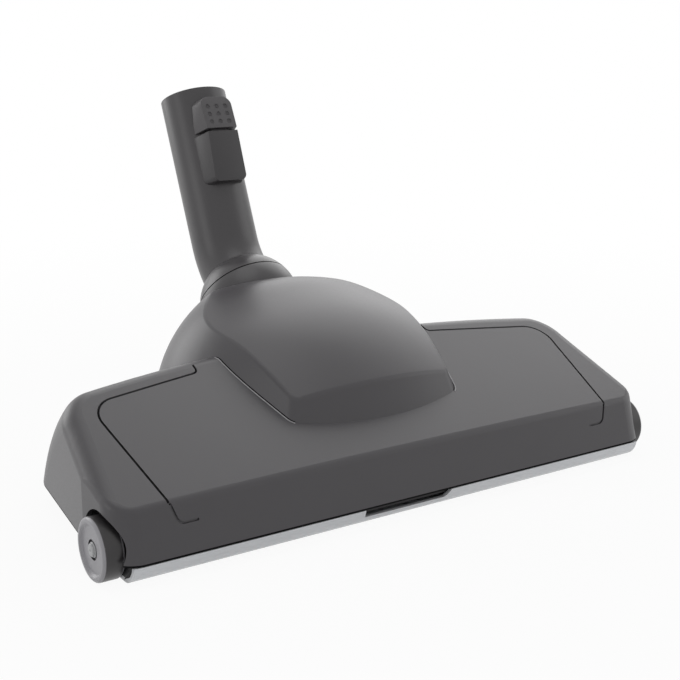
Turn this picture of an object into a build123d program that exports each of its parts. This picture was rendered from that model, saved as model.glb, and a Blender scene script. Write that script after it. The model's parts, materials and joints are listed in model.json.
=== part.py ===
from build123d import *
import math
import os

# Air-driven floor brush head: domed housing, brush roll, turbine, wheels and a swivel neck with a latch.
# Drawn in millimetres with x across the head, y back from the front wheel axle and z up from the floor.
# Every piece is then moved so that the origin lies under the middle of the head, on the floor.

# Cover
wall = 2.2
seam_z = 10.7
seam_gap = 1.2
front_y = -19.1
front_lean = 16.0
crease_z = 32.15
top_slope = 25.0
crown_r = 12000.0
wheel_proud = 4.1
end_crease_y = 16.0
end_taper = 8.2
ridge_y = 61.8
ridge_z = 67.0
rear_arc_r = 135.2
rear_arc_y = -9.1
back_turn = 100.0
bow_r = 700.0
bow_dip = 30.3
bow_turn = 30.0
corner_r = 11.0
end_r = 18.0
ridge_r = 8.0
edge_r = 4.0
groove_w = 1.0
groove_depth = 0.8
groove_end_left = (71.0, 51.1)
groove_end_right = (58.5, 52.8)
groove_margin = 15.8
groove_corner_y = 43.7
groove_foot_margin = 24.1
groove_corner_r = 11.0
groove_return = 4.6
groove_return_r = 2.6
hook_lean = 3.1
hook_drop = 9.5
hook_tail = 8.7
hook_r = 3.5

# Dome on the cover: flat front and sides that run into a ball-shaped back, under a crowned roof
dome_z = 40.0
dome_rises = (0.0, 12.0, 24.0, 36.0, 45.0, 52.0)
dome_front_x = 46.3
dome_front_y = 11.3
dome_nose_y = 5.0
dome_draft = 17.0
dome_side_draft = 14.7
dome_ball_y = 79.25
dome_ball_z = 25.9
dome_ball_r = 72.2
dome_corner_r = 7.0
dome_edge_r = 3.5
roof_points = (
    (-8.0, 42.9),
    (9.9, 56.7),
    (44.0, 77.2),
    (78.0, 85.8),
    (95.0, 88.0),
    (112.0, 85.3),
    (140.0, 67.9),
)
roof_end = (165.0, 45.0)
roof_top = 3
roof_tilt = 37.8
roof_crown_r = 131.6
roof_steps = 14

# Front wheels
head_width = 293.0
wheel_r = 13.2
wheel_w = 9.4
wheel_edge_r = 1.4
wheel_rim = 2.2
wheel_dish = 1.1
wheel_gap = 0.5
arch_gap = 2.4
well_wall = 1.4
axle_r = 3.2
axle_stub = 0.7
axle_chamfer = 0.4
axle_grip = 9.0
axle_boss = 2.4
hub_step = 1.0
run_gap = 0.05
seat_gap = 0.02

# Base and sole
sole_z = 1.2
sole_t = 1.8
lip_foot_y = -8.0
lip_bulge_y = -16.0
lip_bulge_z = 3.9
lip_inset = 0.3
sole_back_y = 40.0
floor_z = 7.7
floor_t = 1.8
base_inset = 3.0
tongue_t = 1.6
tongue_h = 2.5
fit_gap = 0.3
notch_left_x = -27.9
notch_right_x = 19.3
notch_depth = 3.4

# Brush roll
brush_y = 18.0
brush_z = 18.2
brush_tip_r = 17.5
brush_core_r = 9.5
brush_end_gap = 7.0
tunnel_gap = 1.3
tunnel_wall = 1.6
tunnel_margin = 18.6
bristle_t = 3.0
bristle_twist = 1.05
bristle_step = 12.0
bristle_rows_n = 2
bristle_margin = 3.0
shaft_stub_r = 3.0
shaft_stub_in = 14.0
bearing_r = 7.0
bearing_w = 4.0
bearing_seat = 1.0

# Turbine and belt drive
turbine_y = 62.0
turbine_z = 46.0
turbine_r = 26.0
turbine_half = 26.0
turbine_hub_r = 6.0
turbine_eye_r = 13.0
turbine_disc_t = 2.0
blade_n = 14
blade_t = 1.2
blade_sweep = 24.0
blade_belly = 0.2
scroll_gap = 1.5
scroll_wall = 1.8
scroll_end_gap = 2.0
turbine_shaft_r = 2.0
race_r = 6.0
race_w = 5.0
boss_wall = 2.0
belt_x = 43.0
belt_w = 6.0
belt_t = 1.4
belt_gap = 0.3
belt_clear = 1.2
tooth_r = 0.8
pinion_teeth = 12
pulley_teeth = 27
tooth_pitch = 2.93
flange_side = 1.0
window_h = 15.0
outlet_drop = 4.0
outlet_rise = 14.0
leg_t = 3.0
leg_half = 16.0

# Ball knuckle and neck
ball_y = 127.2
ball_z = 69.8
ball_r = 26.2
ball_wall = 2.6
ball_gap = 0.7
ball_inlet_r = 15.0
ball_inlet_lean = -140.0
swivel_lean = 48.3
seam_offset = 8.0
seam_ring_gap = 0.7
trunnion_r = 1.2
trunnion_x = 28.0
pivot_boss_r = 4.5
seat_half = 7.0
slot_floor_z = 46.0
seat_wall = 2.2
seat_rim = 22.5
neck_r = 17.5
socket_r = 16.0
socket_depth = 62.0
duct_r = 14.8
neck_lean = 23.3
bend_reach = 30.6
neck_len = 89.6
bend_r = 42.0
plate_t = 2.4
retainer_t = 2.2
retainer_w = 3.0

# Latch on the neck, along the tube from its rim and out from its axis
pad_top = 7.4
pad_bottom = 24.8
latch_gap = 1.7
catch_bottom = 52.8
pad_top_half = 10.2
latch_base_half = 11.7
latch_face_half = 8.6
pad_top_out = 22.4
latch_out = 24.2
catch_bottom_out = 22.0
pad_round = 5.0
catch_round = 3.0
pad_skin = 2.0
pivot_down = 29.5
pivot_out = 20.2
pivot_r = 1.2
hub_wall = 0.9
pivot_half = 9.0
arm_half = 5.0
arm_in = 18.7
arm_out = 20.9
arm_end = 41.0
press_angle = 4.0
latch_clear = 0.4
lug_len = 5.0
lug_half = 3.5
lug_in = 16.3
spring_down = 13.4
spring_r = 2.4
spring_wire_r = 0.35
spring_turns = 2.5

# Rear rollers and screws
roller_y = 118.0
roller_x = 42.0
roller_r = 8.0
roller_w = 12.0
roller_axle_r = 2.0
fork_t = 2.5
fork_gap = 0.5
fork_rise = 4.0
fork_drop = 4.0
pocket_gap = 1.5
screw_spots = ((100.0, 62.0), (96.0, 88.0), (56.0, 104.0))
screw_r = 1.6
screw_head_r = 3.4
screw_head_t = 2.0
screw_len = 15.0
screw_sink = 0.2
screw_post_h = 7.0
boss_r = 4.0

# Sizes of the blanks that forms are cut from
blank = 400.0
tall = 130.0
Z_MIN = (Align.CENTER, Align.CENTER, Align.MIN)
Z_MAX = (Align.CENTER, Align.CENTER, Align.MAX)

# Places worked out from the sizes above
dome_rear_y = dome_ball_y + math.sqrt(dome_ball_r ** 2 - (dome_z - dome_ball_z) ** 2)
wheel_face_x = head_width / 2
wheel_in_x = wheel_face_x - wheel_w
well_x = wheel_in_x - wheel_gap
end_x = wheel_face_x - wheel_proud
groove_corner = (end_x - groove_margin, groove_corner_y)
groove_foot_x = end_x - groove_foot_margin
tunnel_half = well_x - tunnel_margin
brush_half = tunnel_half - brush_end_gap
arch_r = wheel_r + arch_gap
mouth_z = sole_z + sole_t
base_top_z = seam_z - seam_gap
brush_tunnel_r = brush_tip_r + tunnel_gap
scroll_r = turbine_r + scroll_gap
scroll_half = turbine_half + scroll_end_gap
pinion_r = pinion_teeth * tooth_pitch / (2 * math.pi)
pulley_r = pulley_teeth * tooth_pitch / (2 * math.pi)
roller_reach = roller_x + roller_w / 2 + fork_gap + fork_t
screw_points = [(side * x, y) for side in (-1, 1) for x, y in screw_spots]


def tan(angle):
    return math.tan(math.radians(angle))


def cos(angle):
    return math.cos(math.radians(angle))


def sin(angle):
    return math.sin(math.radians(angle))


def lean_vector(angle):
    """Unit vector in the middle plane that leans back by this angle from upright."""
    return Vector(0, sin(angle), cos(angle))


ball_at = Vector(0, ball_y, ball_z)
bend_at = ball_at + lean_vector(swivel_lean) * bend_reach
rim_at = bend_at + lean_vector(neck_lean) * neck_len
swivel_plane = Plane(origin=ball_at, x_dir=(1, 0, 0), z_dir=lean_vector(swivel_lean))
neck_plane = Plane(origin=rim_at, x_dir=(1, 0, 0), z_dir=lean_vector(neck_lean))
crease_y = front_y + (crease_z - seam_z) * tan(front_lean)
rear_arc_z = ridge_z - math.sqrt(rear_arc_r ** 2 - (ridge_y - rear_arc_y) ** 2)
middle_y = (rim_at.Y + neck_r * cos(neck_lean) + front_y) / 2


def cover_plan(inset):
    """Outline of the head seen from above, open at the front and back where other faces end it."""
    back_y = dome_rear_y
    back_x = end_x - (back_y - end_crease_y) * tan(end_taper)
    front = front_y - corner_r
    right = [(end_x, front), (end_x, end_crease_y), (back_x, back_y)]
    left = [(-x, y) for x, y in reversed(right)]
    return offset(Polygon(*right, *left, align=None), -inset, kind=Kind.INTERSECTION)


def cover_wedge(inset):
    """Leaning front face, crowned slope and bowed back, before its edges are rounded."""
    face_y = front_y + inset / cos(front_lean)
    back_y = 2 * dome_rear_y
    side = Polygon(
        (face_y, seam_z),
        (face_y + tall * tan(front_lean), seam_z + tall),
        (back_y, seam_z + tall),
        (back_y, seam_z),
        align=None,
    )
    wedge = extrude(Plane.YZ * side, amount=blank / 2, both=True)
    out = Vector(0, -sin(top_slope), cos(top_slope))
    crown_at = Vector(0, crease_y, crease_z) - out * crown_r
    crown_plane = Plane(origin=crown_at, x_dir=(1, 0, 0), z_dir=(0, cos(top_slope), sin(top_slope)))
    wedge = wedge & crown_plane * Cylinder(crown_r - inset, 2 * blank)
    wedge = wedge & extrude(Pos(0, 0, seam_z) * cover_plan(inset), amount=tall)
    arc = CenterArc((rear_arc_y, rear_arc_z), rear_arc_r - inset, back_turn, -back_turn)
    start = arc @ 0
    foot = arc @ 1
    back = make_face(Curve() + [arc, Polyline(foot, (-blank / 2, foot.Y), (-blank / 2, start.Y), start)])
    bow_at = Vector(0, ridge_y, ridge_z) - Vector(0, cos(bow_dip), sin(bow_dip)) * bow_r
    bow_axis = Axis(bow_at, (0, -sin(bow_dip), cos(bow_dip)))
    bowed = revolve(Plane.YZ * back, bow_axis, revolution_arc=bow_turn).rotate(bow_axis, -bow_turn / 2)
    return wedge & bowed


def cover_form(inset):
    form = cover_wedge(inset)
    corners = form.edges().filter_by(lambda e: e.geom_type == GeomType.LINE)
    corners = corners.filter_by(lambda e: abs(e.center().X) > end_x - corner_r)
    corners = corners.filter_by(lambda e: abs((e @ 1 - e @ 0).Z) > abs((e @ 1 - e @ 0).Y))
    corners = corners.filter_by(lambda e: e.center().Y < crease_y)
    form = fillet(corners, corner_r - inset)
    rear_ends = form.edges().filter_by(lambda e: e.center().Y > ridge_y and abs(e.center().X) > end_x / 2)
    rear_ends = rear_ends.filter_by(lambda e: e.bounding_box().size.Z > corner_r and e.center().Z > seam_z)
    form = fillet(rear_ends, end_r - inset)
    ridge = form.edges().filter_by(lambda e: abs(e.center().X) < corner_r and e.center().Z > crease_z + wall)
    form = fillet(ridge, ridge_r - inset)
    slope = form.faces().filter_by(lambda f: f.geom_type == GeomType.CYLINDER).sort_by(SortBy.AREA)[-1]
    rim = slope.edges().filter_by(lambda e: abs(e.center().X) > corner_r or e.center().Y < 0)
    return fillet(rim, edge_r - inset)


def dome_plan(rise, inset):
    """Outline of the dome at a height: bowed front, rounded corners, sides that touch the ball."""
    up = dome_z + rise - dome_ball_z
    round_r = math.sqrt(dome_ball_r ** 2 - up ** 2)
    draw = round_r - math.sqrt((dome_ball_r - inset) ** 2 - up ** 2)
    corner = Vector(dome_front_x - rise * tan(dome_side_draft), dome_front_y + rise * tan(dome_draft))
    nose = Vector(0, dome_nose_y + rise * tan(dome_draft))
    reach = Vector(0, dome_ball_y) - corner
    swing = math.degrees(math.asin(round_r / reach.length))
    side_len = math.sqrt(reach.length ** 2 - round_r ** 2)
    touch = corner + reach.normalized().rotate(Axis.Z, -swing) * side_len
    left_corner = Vector(-corner.X, corner.Y)
    left_touch = Vector(-touch.X, touch.Y)
    outline = Curve() + [
        ThreePointArc(left_corner, nose, corner),
        Line(corner, touch),
        ThreePointArc(touch, (0, dome_ball_y + round_r), left_touch),
        Line(left_touch, left_corner),
    ]
    plan = offset(make_face(outline), -draw, kind=Kind.INTERSECTION)
    return fillet(plan.vertices().sort_by(Axis.Y)[:2], dome_corner_r - inset)


def roof_line(inset):
    """Middle line of the dome's roof from front to back, drawn in along its own normals."""
    line = Spline(*roof_points, roof_end)
    steps = [i / roof_steps for i in range(roof_steps + 1)]
    return Spline(*[line @ t - (line % t).rotate(Axis.Z, 90) * inset for t in steps])


def dome_top(inset):
    """Solid under the dome's roof: its middle line turned about a low leaning axis, for the crown."""
    roof = roof_line(inset)
    along = Vector(cos(roof_tilt), sin(roof_tilt))
    low = Vector(*roof_points[roof_top]) - along.rotate(Axis.Z, 90) * roof_crown_r
    rear = low + along * (roof @ 1 - low).dot(along)
    front = low + along * (roof @ 0 - low).dot(along)
    section = make_face(Curve() + [roof, Polyline(roof @ 1, rear, front, roof @ 0)])
    return revolve(Plane.YZ * section, Axis((0, low.X, low.Y), (0, along.X, along.Y)))


def dome_form(inset):
    walls = loft([Pos(0, 0, dome_z + rise) * dome_plan(rise, inset) for rise in dome_rises])
    lower = extrude(Pos(0, 0, seam_z) * dome_plan(0, inset), amount=dome_z - seam_z)
    form = walls & dome_top(inset)
    roof = form.faces().sort_by(Axis.Z)[-1]
    edges = roof.edges().filter_by(lambda e: e.center().Y < dome_ball_y)
    return fillet(edges, dome_edge_r - inset) + lower


def head_form(inset):
    return cover_form(inset) + dome_form(inset)


def along_x(radius, x_low, x_high, y, z):
    """Round bar across the head between two x places."""
    bar = Plane.YZ * (Pos(y, z) * Circle(radius))
    return Pos(x_low, 0, 0) * extrude(bar, amount=x_high - x_low)


def ring_x(r_out, r_in, x_low, x_high, y, z):
    return along_x(r_out, x_low, x_high, y, z) - along_x(r_in, x_low, x_high, y, z)


def box_between(low, high):
    size = [b - a for a, b in zip(low, high)]
    return Pos(*low) * Box(*size, align=(Align.MIN, Align.MIN, Align.MIN))


def both_sides(piece):
    return piece + mirror(piece, Plane.YZ)


def footprint(inset):
    """The head's outline at the seam in lines and arcs, drawn in from the cover's outer edge."""
    seam = outer.faces().sort_by(Axis.Z)[0]
    right = seam.vertices().filter_by(lambda v: v.X > 0).sort_by(Axis.Y)
    side_end, far, near = [(v.X, v.Y) for v in right[-3:]]
    rounding = seam.edges().filter_by(lambda e: e.center().X > far[0]).sort_by(Axis.Y)[-1] @ 0.5
    bend = (end_x, end_crease_y)
    corner = (end_x, front_y)
    left = [(-x, y) for x, y in (corner, bend, side_end, (rounding.X, rounding.Y), far)]
    outline = Curve() + [
        ThreePointArc(left[-1], near, far),
        ThreePointArc(far, (rounding.X, rounding.Y), side_end),
        Polyline(side_end, bend, corner, *left[:3]),
        ThreePointArc(*left[2:]),
    ]
    plan = make_face(outline)
    plan = fillet(plan.vertices().sort_by(Axis.Y)[:2], corner_r)
    return offset(plan + dome_plan(0, 0), -inset)


def footprint_slab(inset, z_low, z_high):
    return extrude(Pos(0, 0, z_low) * footprint(inset), amount=z_high - z_low)


def inside_room():
    """Room left inside the closed cover and above the sole."""
    return clear_form + footprint_slab(base_inset, sole_z, seam_z)


def wheel_arches():
    return both_sides(along_x(arch_r, well_x, blank / 2, 0, wheel_r))


def panel_groove(end):
    """Ribbons along one panel's edge: from above round its corners, and from the front into a short hook."""
    turned_back = (end[0], end[1] + groove_return)
    foot = (groove_foot_x, crease_y)
    radii = (groove_return_r, groove_corner_r)
    edge = FilletPolyline(turned_back, end, groove_corner, foot, radius=radii)
    ribbon = extrude(Pos(0, 0, seam_z) * trace(edge, groove_w), amount=tall)
    hook_x = groove_foot_x - hook_lean
    hook_z = crease_z - hook_drop
    start = (groove_foot_x, crease_z)
    hook = FilletPolyline(start, (hook_x, hook_z), (hook_x - hook_tail, hook_z), radius=hook_r)
    return ribbon + extrude(Plane.XZ.offset(-crease_y) * trace(hook, groove_w), amount=corner_r)


def panel_grooves():
    skin = cover_form(0) - cover_form(groove_depth)
    return (panel_groove(groove_end_right) + mirror(panel_groove(groove_end_left), Plane.YZ)) & skin


def screw_bosses():
    top_z = floor_z + screw_post_h
    posts = [Pos(x, y, top_z) * Cylinder(boss_r, tall, align=Z_MIN) for x, y in screw_points]
    holes = [Pos(x, y, top_z) * Cylinder(screw_r, screw_len, align=Z_MIN) for x, y in screw_points]
    return posts, holes


def neck_opening():
    half = ball_r + ball_gap
    slot = box_between((-half, ball_y, slot_floor_z), (half, ball_y + blank, tall))
    return slot + Pos(ball_at) * Sphere(half)


def make_top_cover():
    posts, holes = screw_bosses()
    cover = outer - inner
    for post in posts:
        cover += post & (outer + footprint_slab(wall, floor_z, seam_z))
    for hole in holes:
        cover -= hole
    cover += both_sides(along_x(pivot_boss_r, 0, blank / 2, ball_y, ball_z)) & outer
    cover -= both_sides(along_x(trunnion_r + run_gap, 0, trunnion_x + run_gap, ball_y, ball_z))
    return cover - panel_grooves() - wheel_arches() - neck_opening()


def lip_region(inset):
    """Section behind the rounded front lip and above the sole."""
    top = (front_y + lip_inset, base_top_z)
    foot = (lip_foot_y, sole_z)
    outline = Curve() + [
        ThreePointArc(top, (lip_bulge_y, lip_bulge_z), foot),
        Polyline(foot, (blank, sole_z), (blank, tall), (top[0], tall), top),
    ]
    section = offset(make_face(outline), -inset, kind=Kind.INTERSECTION)
    return extrude(Plane.YZ * section, blank / 2, both=True)


def tunnel_space():
    """Room for the turning brush, open to the floor."""
    mouth = box_between(
        (-tunnel_half, brush_y - brush_tunnel_r, -tall), (tunnel_half, brush_y + brush_tunnel_r, brush_z)
    )
    return along_x(brush_tunnel_r, -tunnel_half, tunnel_half, brush_y, brush_z) + mouth


def air_passage():
    """Straight way from the brush tunnel into the turbine chamber."""
    run = Vector(0, turbine_y - brush_y, turbine_z - brush_z)
    plane = Plane(origin=(0, brush_y, brush_z), x_dir=(1, 0, 0), z_dir=run)
    return plane * Box(2 * turbine_half, window_h, run.length, align=(Align.CENTER, Align.CENTER, Align.MIN))


def belt_outline(grow):
    small = Pos(turbine_y, turbine_z) * Circle(pinion_r + belt_gap + grow)
    large = Pos(brush_y, brush_z) * Circle(pulley_r + belt_gap + grow)
    return make_hull((small + large).edges())


def belt_solid(grow, width):
    return Pos(belt_x, 0, 0) * extrude(Plane.YZ * belt_outline(grow), width / 2, both=True)


def make_sole_plate():
    lip_half = well_x - seat_gap
    sole_half = tunnel_half + tunnel_wall
    plate = lip_region(0) - lip_region(sole_t)
    room = box_between((-lip_half, front_y, 0), (lip_half, brush_y - brush_tunnel_r, base_top_z))
    room += box_between((-sole_half, front_y, 0), (sole_half, sole_back_y, base_top_z))
    plate = plate & room
    notch = Polygon(
        (notch_left_x, base_top_z),
        (notch_left_x, base_top_z - notch_depth),
        (notch_right_x - notch_depth, base_top_z - notch_depth),
        (notch_right_x, base_top_z),
        align=None,
    )
    plate -= extrude(Plane.XZ * notch, amount=blank / 2)
    return plate - tunnel_space()


def roller_forks():
    plate = box_between(
        (roller_x + roller_w / 2 + fork_gap, roller_y - roller_r, roller_r - fork_drop),
        (roller_x + roller_w / 2 + fork_gap + fork_t, roller_y + roller_r, roller_r + fork_rise),
    )
    return both_sides(plate + mirror(plate, Plane.YZ.offset(roller_x)))


def roller_pockets():
    half_x = roller_w / 2 + fork_gap
    half_y = roller_r + pocket_gap
    return both_sides(
        box_between((roller_x - half_x, roller_y - half_y, 0), (roller_x + half_x, roller_y + half_y, tall))
    )


def wheel_wells():
    cup = along_x(arch_r + well_wall, well_x - well_wall, blank / 2, 0, wheel_r)
    cup -= along_x(arch_r, well_x, blank / 2, 0, wheel_r)
    cup = cup & inside_room() & lip_region(sole_t + seat_gap)
    cup -= box_between((0, 0, -blank), (blank, blank, floor_z))
    return both_sides(cup + along_x(axle_r + axle_boss, well_x - axle_grip, well_x, 0, wheel_r))


def make_base_housing():
    base = footprint_slab(base_inset, floor_z, floor_z + floor_t)
    tongue_inset = base_inset + tongue_t
    base += footprint_slab(tongue_inset, floor_z, seam_z + tongue_h) - footprint_slab(
        tongue_inset + tongue_t, 0, tall
    )
    base = base & lip_region(sole_t + seat_gap)
    tunnel_r = brush_tunnel_r + tunnel_wall
    tunnel = along_x(tunnel_r, -tunnel_half - tunnel_wall, tunnel_half + tunnel_wall, brush_y, brush_z)
    tunnel += box_between(
        (-tunnel_half - tunnel_wall, brush_y - tunnel_r, mouth_z),
        (tunnel_half + tunnel_wall, brush_y + tunnel_r, brush_z),
    )
    tunnel = tunnel & box_between((-blank, -blank, mouth_z), (blank, blank, tall))
    base = base + tunnel - tunnel_space()
    cup_x = tunnel_half - bearing_w - bearing_seat
    base += both_sides(along_x(bearing_r + boss_wall, cup_x, tunnel_half, brush_y, brush_z))
    base -= both_sides(along_x(bearing_r + seat_gap, cup_x, tunnel_half - bearing_seat, brush_y, brush_z))
    base -= air_passage() + belt_solid(belt_t + belt_clear, belt_w + 2 * belt_clear)
    base = base - wheel_arches() + wheel_wells()
    base -= both_sides(along_x(axle_r + seat_gap, 0, blank / 2, 0, wheel_r) & box_between(
        (well_x - axle_grip, -blank, 0), (blank, blank, tall)
    ))
    base = base - roller_pockets() + roller_forks()
    base -= along_x(roller_axle_r + seat_gap, -roller_reach, roller_reach, roller_y, roller_r)
    for x, y in screw_points:
        post = Pos(x, y, floor_z) * Cylinder(boss_r + boss_wall / 2, screw_post_h - seat_gap, align=Z_MIN)
        base += post
        base -= Pos(x, y, floor_z) * Cylinder(screw_r + fit_gap, tall, align=Z_MIN)
        base -= Pos(x, y, floor_z) * Cylinder(screw_head_r + fit_gap, screw_head_t, align=Z_MIN)
    return base


def make_housing_screws():
    screw = Cylinder(screw_head_r, screw_head_t - screw_sink, align=Z_MIN)
    screw += Pos(0, 0, screw_sink) * Cylinder(screw_r - seat_gap, screw_len, align=Z_MIN)
    return Compound([Pos(x, y, floor_z + screw_sink) * screw for x, y in screw_points])


def make_front_wheel():
    """Right wheel: dished face, rounded edges and a counterbored hub."""
    half = wheel_w / 2
    bore = axle_r + run_gap
    hub = bore + hub_step
    section = Polygon(
        (bore, -half),
        (wheel_r, -half),
        (wheel_r, half),
        (wheel_r - wheel_rim, half),
        (wheel_r - wheel_rim - wheel_dish, half - wheel_dish),
        (hub, half - wheel_dish),
        (hub, half - 2 * wheel_dish),
        (bore, half - 2 * wheel_dish),
        align=None,
    )
    edges = section.vertices().filter_by(lambda v: v.X > wheel_r - wheel_rim / 2)
    section = fillet(edges, wheel_edge_r)
    turned = revolve(Plane.XZ * section, Axis.Z)
    return Pos(wheel_face_x - half, 0, wheel_r) * Rot(0, 90, 0) * turned


def make_front_axle():
    pin = along_x(axle_r, well_x - axle_grip + seat_gap, wheel_face_x - axle_stub, 0, wheel_r)
    return chamfer(pin.edges().sort_by(Axis.X)[-1], axle_chamfer)


def make_rear_roller():
    half = roller_w / 2
    roller = ring_x(roller_r, roller_axle_r + run_gap, roller_x - half, roller_x + half, roller_y, roller_r)
    rim = roller.edges().filter_by(lambda e: e.bounding_box().size.Z > roller_r)
    return fillet(rim, wheel_edge_r)


def make_rear_axle():
    reach = roller_w / 2 + fork_gap + fork_t
    return along_x(roller_axle_r, roller_x - reach, roller_x + reach, roller_y, roller_r)


def make_brush_core():
    core = along_x(brush_core_r, -brush_half, brush_half, brush_y, brush_z)
    bore = along_x(shaft_stub_r + seat_gap, brush_half - shaft_stub_in, brush_half, brush_y, brush_z)
    return core - both_sides(bore)


def bristle_strip(x_low, x_high, start_angle, twist):
    """Helical strip of bristle standing on the core between two x places."""
    count = max(2, round(abs(x_high - x_low) / bristle_step))
    root = brush_core_r / cos(bristle_twist * bristle_step / 2) + seat_gap
    blade = Pos(0, (root + brush_tip_r) / 2) * Rectangle(bristle_t, brush_tip_r - root)
    stations = [x_low + (x_high - x_low) * i / count for i in range(count + 1)]
    middle = Plane(origin=(0, brush_y, brush_z), x_dir=(0, 1, 0), z_dir=(1, 0, 0))
    turns = [Rot(0, 0, start_angle + twist * (x - x_low)) for x in stations]
    sections = [middle * Pos(0, 0, x) * turn * blade for x, turn in zip(stations, turns)]
    return loft(Sketch() + sections, ruled=True)


def make_bristle_rows():
    gap = belt_w / 2 + 2 * flange_side
    end = brush_half - bristle_margin
    rows = []
    for row in range(bristle_rows_n):
        angle = 360 / bristle_rows_n * row
        rows.append(bristle_strip(-end, belt_x - gap, angle, bristle_twist))
        rows.append(bristle_strip(belt_x + gap, end, angle + bristle_twist * (belt_x + end), -bristle_twist))
    return Compound(rows)


def toothed(radius, teeth, bore, y, z):
    """Timing pulley with round tooth spaces."""
    half = belt_w / 2 + flange_side
    space = PolarLocations(radius, teeth) * Circle(tooth_r)
    face = Circle(radius) - space - Circle(bore)
    return Pos(belt_x, y, z) * Rot(0, 90, 0) * extrude(face, half, both=True)


def make_brush_shaft():
    inside = brush_half - shaft_stub_in
    return along_x(shaft_stub_r, inside, tunnel_half - bearing_seat, brush_y, brush_z)


def make_brush_bearing():
    x_low = tunnel_half - bearing_seat - bearing_w
    return ring_x(bearing_r, shaft_stub_r + run_gap, x_low, x_low + bearing_w, brush_y, brush_z)


def make_turbine_wheel():
    disc = Circle(turbine_r) - Circle(turbine_shaft_r + seat_gap)
    wheel = extrude(disc, turbine_disc_t / 2, both=True)
    hub = Circle(turbine_hub_r) - Circle(turbine_shaft_r + seat_gap)
    wheel += extrude(hub, turbine_half, both=True)
    tip = Vector(turbine_r, 0).rotate(Axis.Z, blade_sweep)
    middle = Vector((turbine_eye_r + turbine_r) / 2, 0).rotate(Axis.Z, blade_sweep * blade_belly)
    vane = trace(ThreePointArc((turbine_eye_r, 0), middle, tip), blade_t)
    vane = extrude(Pos(0, 0, -turbine_half) * vane, amount=2 * turbine_half)
    vane = vane & Cylinder(turbine_r - blade_t / 2, blank)
    for place in PolarLocations(0, blade_n):
        wheel += place * vane
    return Pos(0, turbine_y, turbine_z) * Rot(0, 90, 0) * wheel


def make_turbine_shaft():
    reach = belt_x + belt_w / 2 + 2 * flange_side
    return along_x(turbine_shaft_r, -scroll_half - race_w, reach, turbine_y, turbine_z)


def make_turbine_bearing():
    race = ring_x(race_r, turbine_shaft_r + run_gap, scroll_half, scroll_half + race_w, turbine_y, turbine_z)
    return race


def turbine_chamber():
    """Drum round the turbine with bearing bosses, an inlet from the brush and an outlet to the neck."""
    out_r = scroll_r + scroll_wall
    out_half = scroll_half + scroll_wall
    drum = along_x(out_r, -out_half, out_half, turbine_y, turbine_z)
    drum -= along_x(scroll_r, -scroll_half, scroll_half, turbine_y, turbine_z)
    drum += both_sides(
        along_x(race_r + boss_wall, scroll_half, scroll_half + race_w, turbine_y, turbine_z)
    )
    drum -= along_x(race_r + seat_gap, -blank / 2, blank / 2, turbine_y, turbine_z)
    outlet = box_between(
        (-turbine_half, turbine_y, turbine_z - outlet_drop),
        (turbine_half, turbine_y + blank, turbine_z + outlet_rise),
    )
    return drum - air_passage() - outlet


def make_turbine_housing():
    half = turbine_chamber() & box_between((-blank, -blank, 0), (blank, blank, turbine_z))
    leg = box_between(
        (scroll_half - leg_t, turbine_y - leg_half, floor_z + floor_t),
        (scroll_half, turbine_y + leg_half, turbine_z),
    )
    leg -= along_x(scroll_r + scroll_wall / 2, -blank, blank, turbine_y, turbine_z)
    return half + both_sides(leg)


def make_turbine_cap():
    return turbine_chamber() & box_between((-blank, -blank, turbine_z + seat_gap), (blank, blank, tall))


def above_swivel(offset_along):
    """Everything beyond a plane across the swivel axis."""
    return swivel_plane * Pos(0, 0, offset_along) * Box(blank, blank, blank, align=Z_MIN)


def swivel_disc(radius, low, high):
    return swivel_plane * Pos(0, 0, low) * Cylinder(radius, high - low, align=Z_MIN)


def make_neck_ball():
    top = seam_offset - seam_ring_gap / 2
    ball = Pos(ball_at) * (Sphere(ball_r) - Sphere(ball_r - ball_wall))
    ball += swivel_disc(ball_r, top - plate_t, top) & Pos(ball_at) * Sphere(ball_r - ball_wall / 2)
    ball -= above_swivel(top)
    ball -= swivel_disc(neck_r + fit_gap, -blank, blank) & above_swivel(0)
    inlet = Plane(origin=ball_at, x_dir=(1, 0, 0), z_dir=lean_vector(ball_inlet_lean))
    ball -= inlet * Cylinder(ball_inlet_r, blank, align=Z_MIN)
    return ball + both_sides(along_x(trunnion_r, ball_r - ball_wall, trunnion_x, ball_y, ball_z))


def make_ball_seat():
    room = ball_r + ball_gap
    cup = Pos(ball_at) * (Sphere(room + seat_wall) - Sphere(room))
    cup = cup & box_between((-blank, ball_y - seat_half, 0), (blank, blank, ball_z - seat_rim))
    foot = box_between(
        (-seat_half, ball_y - seat_half, floor_z + floor_t), (seat_half, ball_y + seat_half, ball_z)
    )
    return cup + (foot - Pos(ball_at) * Sphere(room + seat_wall / 2))


def make_swivel_ring():
    top = seam_offset - seam_ring_gap / 2 - plate_t - fit_gap
    disc = swivel_disc(neck_r + retainer_w, top - retainer_t, top)
    return disc - swivel_disc(neck_r + seat_gap, -blank, blank)


def latch_window():
    return box_between(
        (-lug_half - latch_clear, -blank, -arm_end - latch_clear),
        (lug_half + latch_clear, 0, -arm_end + lug_len + latch_clear),
    )


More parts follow.
